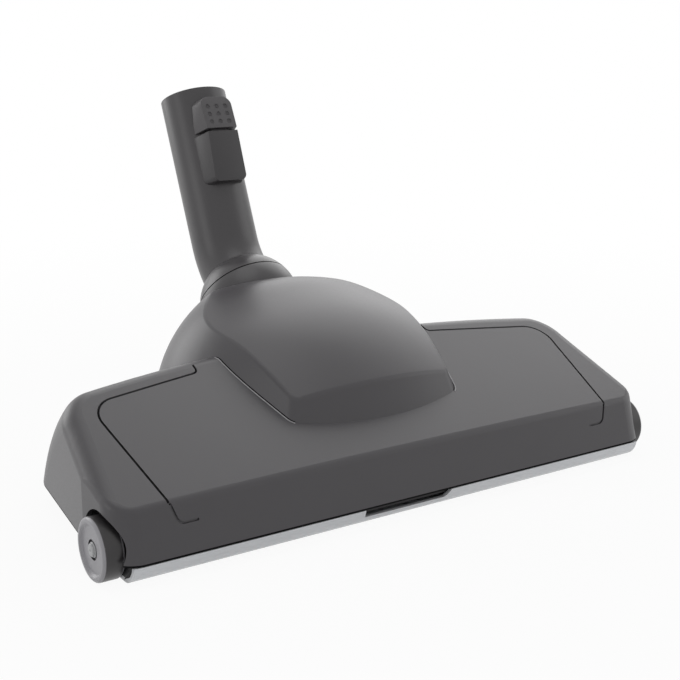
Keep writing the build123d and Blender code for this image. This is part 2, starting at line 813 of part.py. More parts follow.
def make_neck_tube():
    foot = seam_offset - seam_ring_gap / 2 - plate_t - fit_gap - 2 * retainer_t
    start = ball_at + lean_vector(swivel_lean) * foot
    path = FilletPolyline(start, bend_at, rim_at, radius=bend_r)
    section = Plane(origin=start, x_dir=(1, 0, 0), z_dir=lean_vector(swivel_lean))
    tube = sweep(section * Circle(neck_r), path)
    cap = Pos(ball_at) * (Sphere(ball_r) - Sphere(ball_r - ball_wall))
    tube += cap & above_swivel(seam_offset + seam_ring_gap / 2)
    tube -= sweep(section * Circle(duct_r), path)
    tube -= neck_plane * Cylinder(socket_r, socket_depth, align=Z_MAX)
    return tube - neck_plane * latch_window()


def latch_block(top, bottom, top_out, bottom_out):
    """Raised block with bevelled sides on the front of the tube, in the neck's own frame."""
    base_out = math.sqrt(neck_r ** 2 - latch_base_half ** 2)
    right = [(latch_base_half, 0), (latch_base_half, -base_out), (latch_face_half, -latch_out)]
    left = [(-x, y) for x, y in reversed(right)]
    block = Pos(0, 0, -bottom) * extrude(
        Polygon(*right, *left, align=None), amount=bottom - top, dir=(0, 0, 1)
    )
    side = Polygon((0, -top), (-top_out, -top), (-bottom_out, -bottom), (0, -bottom), align=None)
    return block & extrude(Plane.YZ * side, amount=latch_base_half, both=True)


def bevel_corners(block, z):
    """The two sloping edges at one end of a latch block."""
    ends = block.edges().filter_by(lambda e: abs(e.center().Z - z) < latch_clear)
    across = ends.filter_by(lambda e: abs((e @ 0 - e @ 1).X) > latch_clear)
    return across.filter_by(lambda e: abs(e.center().X) > latch_face_half)


def neck_bar(radius):
    return Cylinder(radius, blank)


def pivot_bar(radius, half):
    return Pos(0, -pivot_out, -pivot_down) * Rot(0, 90, 0) * Cylinder(radius, 2 * half)


def make_latch_housing():
    top = pad_bottom + latch_gap
    block = latch_block(top, catch_bottom, latch_out, catch_bottom_out)
    block = fillet(bevel_corners(block, -catch_bottom), catch_round)
    block -= neck_bar(neck_r + seat_gap)
    swing = arm_out + (arm_end - pivot_down) * tan(press_angle) + latch_clear / 2
    block -= box_between(
        (-arm_half - latch_clear, -swing, -arm_end - latch_clear), (arm_half + latch_clear, 0, -top)
    )
    block -= pivot_bar(pivot_r + hub_wall + latch_clear / 2, arm_half + latch_clear)
    return neck_plane * (block - pivot_bar(pivot_r + seat_gap, pivot_half))


def make_latch_button():
    pad = latch_block(pad_top, pad_bottom, pad_top_out, latch_out)
    pad = fillet(bevel_corners(pad, -pad_top), pad_round)
    right = [(pad_top_half, -pad_top), (latch_base_half, -pad_bottom)]
    left = [(-x, z) for x, z in reversed(right)]
    pad = pad & extrude(Plane.XZ * Polygon(*right, *left, align=None), amount=blank, both=True)
    pad -= box_between(
        (-latch_face_half + pad_skin, -pad_top_out + pad_skin, -pad_bottom + pad_skin),
        (latch_face_half - pad_skin, 0, -pad_top - pad_skin),
    )
    arm = box_between((-arm_half, -arm_out, -arm_end), (arm_half, -arm_in, -pad_bottom + pad_skin))
    arm += pivot_bar(pivot_r + hub_wall, arm_half)
    arm += box_between((-lug_half, -arm_out, -arm_end), (lug_half, -lug_in, -arm_end + lug_len))
    tube = neck_bar(neck_r + latch_clear)
    pressed = tube.rotate(Axis((0, -pivot_out, -pivot_down), (1, 0, 0)), press_angle)
    pad = pad - tube - pressed
    return neck_plane * (pad + arm - pivot_bar(pivot_r + run_gap, blank))


def make_latch_pin():
    return neck_plane * pivot_bar(pivot_r, pivot_half - seat_gap)


def make_latch_spring():
    roof = pad_top_out - pad_skin
    height = roof - neck_r - 2 * spring_wire_r - 2 * seat_gap
    coil = Helix(height / spring_turns, height, spring_r)
    wire = Plane(origin=coil @ 0, z_dir=coil % 0) * Circle(spring_wire_r)
    place = Pos(0, -neck_r - spring_wire_r - seat_gap, -spring_down) * Rot(90, 0, 0)
    return neck_plane * place * sweep(wire, coil)


def make_drive_belt():
    return belt_solid(belt_t, belt_w) - belt_solid(0, belt_w)


def save(name, piece):
    export_step(Pos(0, -middle_y, 0) * piece, f"parts/{name}.step")


def save_pair(name, right_piece):
    save(f"{name}_right", right_piece)
    save(f"{name}_left", mirror(right_piece, Plane.YZ))


os.makedirs("parts", exist_ok=True)
outer = head_form(0)
inner = head_form(wall)
clear_form = head_form(wall + fit_gap)
save("top_cover", make_top_cover())
save("base_housing", make_base_housing())
save("sole_plate", make_sole_plate())
save("housing_screws", make_housing_screws())
save_pair("front_wheel", make_front_wheel())
save_pair("front_axle", make_front_axle())
save_pair("rear_roller", make_rear_roller())
save_pair("rear_axle", make_rear_axle())
save("brush_core", make_brush_core())
save("bristle_rows", make_bristle_rows())
save("brush_pulley", toothed(pulley_r, pulley_teeth, brush_core_r + seat_gap, brush_y, brush_z))
save_pair("brush_shaft", make_brush_shaft())
save_pair("brush_bearing", make_brush_bearing())
save("turbine_wheel", make_turbine_wheel())
save("turbine_shaft", make_turbine_shaft())
save("drive_pinion", toothed(pinion_r, pinion_teeth, turbine_shaft_r + seat_gap, turbine_y, turbine_z))
save_pair("turbine_bearing", make_turbine_bearing())
save("turbine_housing", make_turbine_housing())
save("turbine_cap", make_turbine_cap())
save("drive_belt", make_drive_belt())
save("neck_ball", make_neck_ball())
save("ball_seat", make_ball_seat())
save("neck_tube", make_neck_tube())
save("swivel_ring", make_swivel_ring())
save("latch_housing", make_latch_housing())
save("latch_button", make_latch_button())
save("latch_pin", make_latch_pin())
save("latch_spring", make_latch_spring())
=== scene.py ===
import json
import math

import bmesh
import bpy
from mathutils import Matrix, Vector
from mathutils.bvhtree import BVHTree


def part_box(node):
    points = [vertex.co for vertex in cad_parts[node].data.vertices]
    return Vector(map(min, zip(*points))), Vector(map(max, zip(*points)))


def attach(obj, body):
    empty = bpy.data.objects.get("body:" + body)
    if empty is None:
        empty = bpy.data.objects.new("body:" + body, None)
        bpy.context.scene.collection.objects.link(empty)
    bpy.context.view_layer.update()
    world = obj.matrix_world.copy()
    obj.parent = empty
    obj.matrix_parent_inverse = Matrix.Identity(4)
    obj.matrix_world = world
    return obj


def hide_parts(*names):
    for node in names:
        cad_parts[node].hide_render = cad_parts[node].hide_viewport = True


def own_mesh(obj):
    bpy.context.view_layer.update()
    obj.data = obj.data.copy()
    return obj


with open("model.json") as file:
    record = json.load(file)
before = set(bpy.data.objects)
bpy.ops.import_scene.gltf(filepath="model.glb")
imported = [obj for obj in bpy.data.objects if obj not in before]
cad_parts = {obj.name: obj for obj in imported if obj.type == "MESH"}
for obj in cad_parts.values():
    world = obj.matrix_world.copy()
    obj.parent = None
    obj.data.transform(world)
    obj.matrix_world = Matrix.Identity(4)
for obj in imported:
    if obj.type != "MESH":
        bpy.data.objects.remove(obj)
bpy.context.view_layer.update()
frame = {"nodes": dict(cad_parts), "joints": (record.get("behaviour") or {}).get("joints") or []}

bl_info = {
    "name": "Floor Brush Head",
    "version": (1, 0, 0),
    "blender": (4, 5, 0),
    "location": "View3D > Sidebar > Brush Head",
    "description": "Gives the packed floor brush head its finishes, fine detail and studio",
    "category": "Object",
}

MM = 0.001
WHITE = (1.0, 1.0, 1.0, 1.0)

# The cover and its screws are drawn from the front wheels' axle, which lies here in the frame.
AXLE_Y = next(j["pos_m"][1] for j in frame["joints"] if j["name"] == "front_wheel_left_spin")

# Points nearer than this are one point.
JOIN_WITHIN = 0.002 * MM

# Beads and ribs are ten-sided and shaded smooth up to this angle in degrees.
BEAD_SIDES = 10
BEAD_SMOOTH = 60

# The neck's own frame: the middle of its rim, its run down the tube and the way its latch faces.
NECK_LEAN = math.radians(23.3)
NECK_RIM = Vector((0.0, 94.26, 172.45)) * MM
NECK_UP = Vector((0.0, math.sin(NECK_LEAN), math.cos(NECK_LEAN)))
NECK_FRONT = Vector((0.0, -math.cos(NECK_LEAN), math.sin(NECK_LEAN)))


def linear(hex_colour):
    """An sRGB hex colour as linear red, green, blue and alpha."""
    parts = [int(hex_colour[i : i + 2], 16) / 255 for i in (1, 3, 5)]
    return (*[c / 12.92 if c <= 0.04045 else ((c + 0.055) / 1.055) ** 2.4 for c in parts], 1.0)


def shade(colour, share):
    """A colour made lighter or darker by a share of itself."""
    return (*[min(1.0, c * share) for c in colour[:3]], 1.0)


def paint(label, note, hex_colour):
    """A colour property with its default given as sRGB hex."""
    return bpy.props.FloatVectorProperty(
        name=label,
        description=note,
        subtype="COLOR",
        size=4,
        min=0.0,
        max=1.0,
        default=linear(hex_colour),
    )


def length(label, note, millimetres):
    """A length property with its default given in millimetres."""
    return bpy.props.FloatProperty(
        name=label, description=note, unit="LENGTH", min=0.0, precision=5, default=millimetres * MM
    )


def power(label, note, watts):
    """A lamp's power property."""
    return bpy.props.FloatProperty(
        name=label, description=note, subtype="POWER", min=0.0, default=watts
    )


class BrushHeadColours(bpy.types.PropertyGroup):
    """Colours of the head's plastics, bristles and metal."""

    cover: paint("Cover", "Satin moulded cover and dome", "#434144")
    # Painted highlight: the pale bead beside the dome's foot stands in for light caught by a fine edge.
    edge: paint("Pale edge", "Edge beside the dome's foot, worn pale", "#a09fa1")
    neck: paint("Neck", "Neck tube and ball", "#3f3d3f")
    latch: paint("Latch housing", "Housing under the latch button", "#323032")
    button: paint("Latch button", "Latch button with its grip dimples", "#4d4b4d")
    base: paint("Base", "Black underside", "#1b1b1d")
    lip: paint("Lip", "Pale front lip and sole", "#dcdee1")
    # Painted light: the wheels' grey is made lighter than their dark plastic, for the light from the left on
    # their faces.
    wheel: paint("Wheels", "Front wheels", "#98979b")
    # Painted shade: the treads' darker band stands in for the shadow of the wheel arch.
    tread_shade: paint("Wheel treads", "Running surface of the front wheels", "#2e2c2d")
    pin: paint("Axles", "Front axles and their rounded ends", "#a9aaab")
    roller: paint("Rear rollers", "Rollers under the back", "#4a4a4d")
    bristle: paint("Bristles", "Nylon tufts of the brush roll", "#2a2a2d")
    core: paint("Brush core", "Core of the brush roll", "#6d6e72")
    drive: paint("Pulleys", "Acetal belt pulleys", "#d9d7cf")
    turbine: paint("Turbine", "Turbine wheel and its chamber", "#c9cacb")
    belt: paint("Belt", "Rubber drive belt", "#161617")
    bronze: paint("Bearings", "Sintered bronze bearings", "#a07a46")
    steel: paint("Steel", "Zinc-plated screws, shafts and spring", "#b9bcc0")
    # Painted shade: the dark of the panel joints, of the dome's gutter and of the gap under the cover's
    # edge.
    shadow: paint("Joint shadow", "Dark of the panel joints, the dome's gutter and the seal", "#0c0c0d")


class BrushHeadSizes(bpy.types.PropertyGroup):
    """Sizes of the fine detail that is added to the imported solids."""

    dimple_radius: length("Dimple radius", "Half width of a grip dimple", 1.25)
    dimple_depth: length("Dimple depth", "Depth of a grip dimple", 0.85)
    dimple_across: length("Dimple pitch across", "Distance between dimples across the button", 5.1)
    dimple_along: length("Dimple pitch along", "Distance between dimples along the button", 4.3)
    latch_round: length("Latch rounding", "Radius on the edges of the latch's button and block", 0.9)
    tuft_spacing: length("Tuft spacing", "Distance between bristle tufts", 2.6)
    tuft_radius: length("Tuft radius", "Half width of a bristle tuft", 1.15)
    filament_radius: length("Filament radius", "Half thickness of one bristle", 0.17)
    line_width: length("Panel line width", "Width of the dark bead in a panel joint", 0.86)
    line_lift: length("Panel line lift", "Height of the dark bead's middle over the joint's floor", 0.08)
    # The beads at the dome's foot are painted shade in its gutter and a painted highlight on the edge beside
    # it.
    foot_bead: length("Foot bead radius", "Radius of the beads where the dome meets the cover", 0.28)
    foot_gap: length("Foot gap", "Distance from the dome's foot to the pale edge beside it", 0.75)
    screw_recess: length("Screw recess", "Half length of the cross in a screw head", 1.9)
    rib_pitch: length("Floor rib pitch", "Distance between the stiffening ribs under the base", 12.0)
    rib_radius: length("Floor rib radius", "Radius of the stiffening ribs under the base", 0.8)
    # Painted shade: the dark bead under the cover's edge stands in for the shadow in that gap.
    seam_shade_radius: length("Seam seal radius", "Radius of the dark seal under the cover's edge", 0.5)


class BrushHeadStudio(bpy.types.PropertyGroup):
    """Light, floor and camera."""

    floor: paint("Floor", "Pale studio floor", "#f4f4f4")
    sky: bpy.props.FloatProperty(name="Sky", description="Light from all round", min=0.0, default=0.48)
    side: power("Side", "Soft light behind the left end", 4.0)
    left: power("Left", "Weak fill light at the left", 1.0)
    right: power("Right", "Weak fill light at the right", 1.8)
    top: power("Top", "Soft light overhead", 1.8)
    back: power("Back", "Large soft light behind", 6.8)
    lens: bpy.props.FloatProperty(
        name="Lens", description="Focal length of the camera", unit="CAMERA", min=1.0, default=67.4
    )


def add_node(tree, kind, settings=None, values=None, links=None):
    """Adds one node with its settings, its socket values and its links from other nodes' outputs."""
    made = tree.nodes.new(kind)
    for key, value in (settings or {}).items():
        setattr(made, key, value)
    for key, value in (values or {}).items():
        made.inputs[key].default_value = value
    for key, (source, output) in (links or {}).items():
        tree.links.new(source.outputs[output], made.inputs[key])
    return made


def new_material(name):
    """An empty material and its node tree."""
    material = bpy.data.materials.new(name)
    material.use_nodes = True
    material.node_tree.nodes.clear()
    return material, material.node_tree


def moulded(name, colour, roughness, grain, relief, gloss=0.5, spread=0.05, tread_shade=None):
    """Moulded plastic: an even tint with faint flow clouds and a fine eroded grain in its gloss.

    The grain's width and relief are in millimetres.
    """
    drift = 0.06
    material, tree = new_material(name)
    place = add_node(tree, "ShaderNodeTexCoord")
    # Melt that met in the mould leaves clouds some 45 mm wide, a few percent lighter or darker.
    cloud_size = 45 * MM
    clouds = add_node(
        tree,
        "ShaderNodeTexNoise",
        values={"Scale": 1 / cloud_size, "Detail": 2.0},
        links={"Vector": (place, "Object")},
    )
    tint = add_node(
        tree,
        "ShaderNodeMix",
        {"data_type": "RGBA"},
        {6: shade(colour, 1 - drift), 7: shade(colour, 1 + drift)},
        {0: (clouds, "Fac")},
    )
    # The mould's spark-eroded grain is about 0.2 mm and is drawn coarser, or it would not show.
    skin = add_node(
        tree,
        "ShaderNodeTexNoise",
        values={"Scale": 1 / (grain * MM), "Detail": 3.0},
        links={"Vector": (place, "Object")},
    )
    gloss_map = add_node(
        tree,
        "ShaderNodeMapRange",
        values={"To Min": roughness - spread, "To Max": roughness + spread},
        links={"Value": (skin, "Fac")},
    )
    bump = add_node(
        tree,
        "ShaderNodeBump",
        values={"Strength": 0.5, "Distance": relief * MM},
        links={"Height": (skin, "Fac")},
    )
    if tread_shade:
        # A wheel's running surface is a softer, darker band of painted shade under the wheel arch, where the
        # surface faces away from the axle.
        facing = add_node(tree, "ShaderNodeSeparateXYZ", links={0: (place, "Normal")})
        aside = add_node(tree, "ShaderNodeMath", {"operation": "ABSOLUTE"}, links={0: (facing, "X")})
        band = add_node(
            tree,
            "ShaderNodeMapRange",
            values={"From Min": 0.1, "From Max": 0.35},
            links={"Value": (aside, 0)},
        )
        tint = add_node(
            tree, "ShaderNodeMix", {"data_type": "RGBA"}, {6: tread_shade}, {0: (band, "Result"), 7: (tint, 2)}
        )
    surface = add_node(
        tree,
        "ShaderNodeBsdfPrincipled",
        values={"IOR": 1.5, "Specular IOR Level": gloss},
        links={"Base Color": (tint, 2), "Roughness": (gloss_map, "Result"), "Normal": (bump, "Normal")},
    )
    add_node(tree, "ShaderNodeOutputMaterial", links={"Surface": (surface, "BSDF")})
    return material


def turned_metal(name, colour, roughness, groove):
    """Drawn or turned metal: fine parallel tool lines that break up a bright reflection.

    The width of a line's groove is in millimetres.
    """
    # A line is darker than the metal between, and the gloss moves to both sides of the roughness.
    line_tone, smoother, rougher = 0.86, 0.08, 0.1
    material, tree = new_material(name)
    place = add_node(tree, "ShaderNodeTexCoord")
    # The lines lie square to the shafts' run, so the noise is drawn out along the two other ways.
    drawn_out = add_node(
        tree, "ShaderNodeMapping", values={"Scale": (1.0, 0.06, 0.06)}, links={"Vector": (place, "Object")}
    )
    lines = add_node(
        tree,
        "ShaderNodeTexNoise",
        values={"Scale": 1 / (groove * MM), "Detail": 2.0},
        links={"Vector": (drawn_out, "Vector")},
    )
    gloss_map = add_node(
        tree,
        "ShaderNodeMapRange",
        values={"To Min": roughness - smoother, "To Max": roughness + rougher},
        links={"Value": (lines, "Fac")},
    )
    tint = add_node(
        tree,
        "ShaderNodeMix",
        {"data_type": "RGBA"},
        {6: shade(colour, line_tone), 7: colour},
        {0: (lines, "Fac")},
    )
    bump = add_node(
        tree,
        "ShaderNodeBump",
        values={"Strength": 0.3, "Distance": 0.02 * MM},
        links={"Height": (lines, "Fac")},
    )
    surface = add_node(
        tree,
        "ShaderNodeBsdfPrincipled",
        values={"Metallic": 1.0},
        links={"Base Color": (tint, 2), "Roughness": (gloss_map, "Result"), "Normal": (bump, "Normal")},
    )
    add_node(tree, "ShaderNodeOutputMaterial", links={"Surface": (surface, "BSDF")})
    return material


def nylon_filament(name, colour):
    """Extruded nylon: dark, slick filaments, each tuft a touch lighter or darker than the next."""
    darkest, lightest = 0.7, 1.6
    material, tree = new_material(name)
    tone = add_node(tree, "ShaderNodeAttribute", {"attribute_name": "tuft_tone"})
    tint = add_node(
        tree,
        "ShaderNodeMix",
        {"data_type": "RGBA"},
        {6: shade(colour, darkest), 7: shade(colour, lightest)},
        {0: (tone, "Fac")},
    )
    surface = add_node(
        tree,
        "ShaderNodeBsdfPrincipled",
        values={"Roughness": 0.38, "IOR": 1.53, "Sheen Weight": 0.1},
        links={"Base Color": (tint, 2)},
    )
    add_node(tree, "ShaderNodeOutputMaterial", links={"Surface": (surface, "BSDF")})
    return material


def add_piece(name, mesh):
    """Puts a mesh into the scene as a piece at the origin."""
    piece = bpy.data.objects.new(name, mesh)
    bpy.context.scene.collection.objects.link(piece)
    return piece


def dress(piece, material):
    """Gives a piece one material all over."""
    piece.data.materials.clear()
    piece.data.materials.append(material)


def material_of(name):
    """A finish that has been made already."""
    found = bpy.data.materials.get(name)
    if found is None:
        raise RuntimeError(f"the finish {name} isn't made yet: run the finishes first")
    return found


def start_tree(name, inputs):
    """A geometry tree with named inputs, and its group input node."""
    tree = bpy.data.node_groups.new(name, "GeometryNodeTree")
    for label, kind in inputs:
        tree.interface.new_socket(label, in_out="INPUT", socket_type=kind)
    tree.interface.new_socket("Geometry", in_out="OUTPUT", socket_type="NodeSocketGeometry")
    return tree, add_node(tree, "NodeGroupInput")


def end_tree(tree, source, output, material):
    """Ends a tree in plain geometry with its material."""
    real = add_node(tree, "GeometryNodeRealizeInstances", links={"Geometry": (source, output)})
    painted = add_node(
        tree,
        "GeometryNodeSetMaterial",
        values={"Material": material},
        links={"Geometry": (real, "Geometry")},
    )
    add_node(tree, "NodeGroupOutput", links={"Geometry": (painted, "Geometry")})


def run_tree(tree, name, values, mesh=None):
    """Runs a tree on a carrier mesh, or on an empty one, and returns the mesh that it makes."""
    carrier = add_piece(name + "_carrier", mesh or bpy.data.meshes.new(name + "_carrier"))
    modifier = carrier.modifiers.new(name, "NODES")
    modifier.node_group = tree
    for item in tree.interface.items_tree:
        if item.in_out == "INPUT" and item.name in values:
            modifier[item.identifier] = values[item.name]
    graph = bpy.context.evaluated_depsgraph_get()
    mesh = bpy.data.meshes.new_from_object(carrier.evaluated_get(graph))
    mesh.name = name
    carrier.modifiers.remove(modifier)
    bpy.data.objects.remove(carrier)
    return mesh


def merged_copy(node, name):
    """A copy of a CAD node's mesh with its loose triangles joined."""
    mesh = frame["nodes"][node].data.copy()
    mesh.name = name
    shape = bmesh.new()
    shape.from_mesh(mesh)
    bmesh.ops.remove_doubles(shape, verts=shape.verts, dist=JOIN_WITHIN)
    shape.to_mesh(mesh)
    shape.free()
    return mesh


def softened_copy(node, name, radius):
    """A copy of a CAD node with its flat faces made whole and its sharp edges rounded."""
    flat, sharp_from = math.radians(0.5), math.radians(24)
    mesh = merged_copy(node, name)
    shape = bmesh.new()
    shape.from_mesh(mesh)
    bmesh.ops.dissolve_limit(shape, angle_limit=flat, verts=shape.verts, edges=shape.edges)
    joined = [e for e in shape.edges if len(e.link_faces) == 2]
    sharp = [e for e in joined if e.calc_face_angle_signed() > sharp_from]
    bmesh.ops.bevel(
        shape,
        geom=sharp,
        offset=radius,
        offset_type="OFFSET",
        segments=3,
        profile=0.5,
        affect="EDGES",
        clamp_overlap=True,
    )
    bmesh.ops.remove_doubles(shape, verts=shape.verts, dist=JOIN_WITHIN)
    shape.to_mesh(mesh)
    shape.free()
    return mesh


def cut_away(piece, cutter):
    """Cuts one closed mesh out of another for good."""
    modifier = piece.modifiers.new("cut", "BOOLEAN")
    modifier.operation = "DIFFERENCE"
    modifier.solver = "EXACT"
    modifier.object = cutter
    graph = bpy.context.evaluated_depsgraph_get()
    mesh = bpy.data.meshes.new_from_object(piece.evaluated_get(graph))
    piece.modifiers.remove(modifier)
    if not mesh.polygons:
        raise RuntimeError(f"nothing of {piece.name} was left after its cut")
    piece.data = mesh
    bpy.data.objects.remove(cutter)


def smooth_by_angle(mesh, degrees):
    """Smooth shading that keeps the edges sharper than an angle."""
    mesh.shade_smooth()
    shape = bmesh.new()
    shape.from_mesh(mesh)
    for edge in shape.edges:
        edge.smooth = len(edge.link_faces) == 2 and edge.calc_face_angle() < math.radians(degrees)
    shape.to_mesh(mesh)
    shape.free()


def neck_place(across, out, down):
    """A point from its places across the neck, out from the tube's axis and down from its rim."""
    return NECK_RIM + Vector((across, 0, 0)) + NECK_FRONT * out - NECK_UP * down


def both(name):
    """The names of a left and a right node."""
    return (name + "_left", name + "_right")


class BRUSHHEAD_OT_finishes(bpy.types.Operator):
    """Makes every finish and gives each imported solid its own"""

    bl_idname = "brush_head.finishes"
    bl_label = "Finishes"

    def execute(self, context):
        c = context.scene.brush_head_colours
        finishes = {
            # ABS from a finely eroded mould: soft broad highlights, pale at the edges seen on the slant.
            moulded("cover_abs", c.cover, roughness=0.37, grain=0.9, relief=0.035): ("top_cover",),
            # The same ABS from a smoother mould on the neck, so its streaks of light are narrower.
            moulded("neck_abs", c.neck, roughness=0.33, grain=0.9, relief=0.025): (
                "neck_tube",
                "neck_ball",
                "swivel_ring",
            ),
            # The latch's block has a darker colour than the tube and a slightly rougher grain, so it looks
            # darker and duller.
            moulded("latch_abs", c.latch, roughness=0.42, grain=0.8, relief=0.04): ("latch_housing",),
            # The button has a lighter colour than the block, and its grip grain is rougher still and
            # scatters a little more light.
            moulded("button_abs", c.button, roughness=0.45, grain=0.8, relief=0.04): ("latch_button",),
            # Black polypropylene underside: dull, a little waxy.
            moulded("base_polypropylene", c.base, roughness=0.5, grain=1.1, relief=0.05, gloss=0.4): (
                "base_housing",
                "ball_seat",
            ),
            # Polished pale ABS on the lip, which mirrors the floor in long soft bands.
            moulded("lip_abs", c.lip, roughness=0.26, grain=2.5, relief=0.002, spread=0.02): ("sole_plate",),
            # Polypropylene wheels: waxy and softly lit, with their grey made lighter as painted light from
            # the left and their tread band darker as painted shade.
            moulded(
                "wheel_polypropylene", c.wheel, roughness=0.34, grain=1.0, relief=0.02, tread_shade=c.tread_shade
            ): both("front_wheel"),
            # Acetal pins: pale and slick, with a small clear highlight.
            moulded("pin_acetal", c.pin, roughness=0.3, grain=1.0, relief=0.02): both("front_axle"),
            # Soft rollers: matt, so that they grip the floor.
            moulded(
                "roller_elastomer", c.roller, roughness=0.65, grain=0.7, relief=0.06, gloss=0.35
            ): both("rear_roller"),
            # Polypropylene brush core: mid grey, with a waxy band of light along it.
            moulded("core_polypropylene", c.core, roughness=0.42, grain=1.0, relief=0.03): ("brush_core",),
            # Acetal pulleys: ivory, slick.
            moulded("pulley_acetal", c.drive, roughness=0.27, grain=1.2, relief=0.015): (
                "brush_pulley",
                "drive_pinion",
            ),
            # Pale ABS of the turbine and its chamber: smooth and clean, because air runs over it.
            moulded("turbine_abs", c.turbine, roughness=0.34, grain=1.2, relief=0.02): (
                "turbine_wheel",
                "turbine_housing",
                "turbine_cap",
            ),
            # Neoprene belt: black, dusty, almost without a highlight.
            moulded("belt_neoprene", c.belt, roughness=0.7, grain=0.6, relief=0.08, gloss=0.3): (
                "drive_belt",
            ),
            # Sintered bronze bushes: warm, dulled by their pores and oil.
            turned_metal("bearing_bronze", c.bronze, roughness=0.42, groove=0.5): (
                *both("brush_bearing"),
                *both("turbine_bearing"),
            ),
            # Zinc-plated steel: cool and bright, with fine lines from drawing and turning.
            turned_metal("zinc_steel", c.steel, roughness=0.3, groove=0.4): (
                "housing_screws",
                *both("rear_axle"),
                *both("brush_shaft"),
                "turbine_shaft",
                "latch_pin",
                "latch_spring",
            ),
            # Nylon bristles: near black, with a slick glint along each filament.
            nylon_filament("bristle_nylon", c.bristle): ("bristle_rows",),
            # Cover ABS made pale along a fine edge: a painted highlight where that edge catches the light.
            moulded("edge_abs", c.edge, roughness=0.35, grain=0.9, relief=0.01): (),
            # The unlit depth of a joint: black and without gloss.
            moulded("joint_shadow", c.shadow, roughness=0.8, grain=1.0, relief=0.01, gloss=0.1): (),
        }
        for material, nodes in finishes.items():
            for node in nodes:
                dress(frame["nodes"][node], material)
        return {"FINISHED"}


def rounded_path(corners, radii, step):
    """Points along straight runs with rounded corners, about a step apart."""
    fewest = 4
    points = [corners[0]]
    for before, corner, after, radius in zip(corners, corners[1:], corners[2:], radii):
        into, out = (before - corner).normalized(), (after - corner).normalized()
        half = into.angle(out) / 2
        reach = radius / math.tan(half)
        centre = corner + (into + out).normalized() * (radius / math.sin(half))
        first, last = corner + into * reach - centre, corner + out * reach - centre
        turn = first.angle_signed(last)
        count = max(fewest, int(abs(turn) * radius / step))
        points += [centre + Matrix.Rotation(-turn * i / count, 2) @ first for i in range(count + 1)]
    points.append(corners[-1])
    path = []
    for start, end in zip(points, points[1:]):
        count = max(1, int((end - start).length / step))
        path += [start.lerp(end, i / count) for i in range(count)]
    return path + [points[-1]]


def round_bar(tree, given, run):
    """A closed round bar along a curve, as thick as the tree's Radius input says."""
    ring = add_node(
        tree,
        "GeometryNodeCurvePrimitiveCircle",
        values={"Resolution": BEAD_SIDES},
        links={"Radius": (given, "Radius")},
    )
    return add_node(
        tree,
        "GeometryNodeCurveToMesh",
        values={"Fill Caps": True},
        links={"Curve": (run, "Curve"), "Profile Curve": (ring, "Curve")},
    )


def bead_mesh(name, line, radius, material):
    """A round bead along the edges of a line mesh."""
    tree, given = start_tree(name, [("Geometry", "NodeSocketGeometry"), ("Radius", "NodeSocketFloat")])
    run = add_node(tree, "GeometryNodeMeshToCurve", links={"Mesh": (given, "Geometry")})
    end_tree(tree, round_bar(tree, given, run), "Mesh", material)
    mesh = run_tree(tree, name, {"Radius": radius}, line)
    smooth_by_angle(mesh, BEAD_SMOOTH)
    return mesh


class BRUSHHEAD_OT_panel_lines(bpy.types.Operator):
    """Lays a dark bead of painted shade into the joint round each top panel"""

    bl_idname = "brush_head.panel_lines"
    bl_label = "Panel lines"

    def execute(self, context):
        sizes = context.scene.brush_head_sizes
        # The joint's plan in millimetres, out from the head's middle and back from the axle.
        ends = ((1, (58.5, 52.8), "panel_line_right"), (-1, (71.0, 51.1), "panel_line_left"))
        corner, foot_x, crease_y = (126.6, 43.7), 118.3, -12.95
        corner_r, return_r, return_l = 11.0, 2.6, 4.6
        # Below the crease, at this height, the joint closes and the bead runs out in two short steps.
        crease_z, run_out = 32.15, ((0.3, 1.0), (0.6, 1.9))
        step, above, before = 0.8 * MM, 200 * MM, -300 * MM
        shape = bmesh.new()
        shape.from_mesh(frame["nodes"]["top_cover"].data)
        skin = BVHTree.FromBMesh(shape)
        for side, end, name in ends:
            plan = [(end[0], end[1] + return_l), end, corner, (foot_x, crease_y)]
            corners = [Vector((side * x * MM, y * MM + AXLE_Y)) for x, y in plan]
            rays = [
                (Vector((at.x, at.y, above)), Vector((0, 0, -1)))
                for at in rounded_path(corners, (return_r * MM, corner_r * MM), step)
            ]
            for inward, drop in run_out:
                start = Vector((side * (foot_x - inward) * MM, before, (crease_z - drop) * MM))
                rays.append((start, Vector((0, 1, 0))))
            points = []
            for start, way in rays:
                hit, normal = skin.ray_cast(start, way)[:2]
                points.append(hit + normal * sizes.line_lift)
            line = bpy.data.meshes.new(name + "_run")
            pairs = [(i, i + 1) for i in range(len(points) - 1)]
            line.from_pydata([p[:] for p in points], pairs, [])
            shadow = material_of("joint_shadow")
            piece = add_piece(name, bead_mesh(name, line, sizes.line_width / 2, shadow))
            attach(piece, "housing")
        shape.free()
        return {"FINISHED"}


def line_mesh(name, places, edges):
    """A line mesh from places by vertex and pairs of vertices."""
    index = {v: i for i, v in enumerate(places)}
    line = bpy.data.meshes.new(name + "_run")
    line.from_pydata([at[:] for at in places.values()], [[index[v] for v in e.verts] for e in edges], [])
    return line


def cover_shape():
    """The cover's mesh with its triangles joined."""
    mesh = merged_copy("top_cover", "cover_probe")
    shape = bmesh.new()
    shape.from_mesh(mesh)
    bpy.data.meshes.remove(mesh)
    return shape


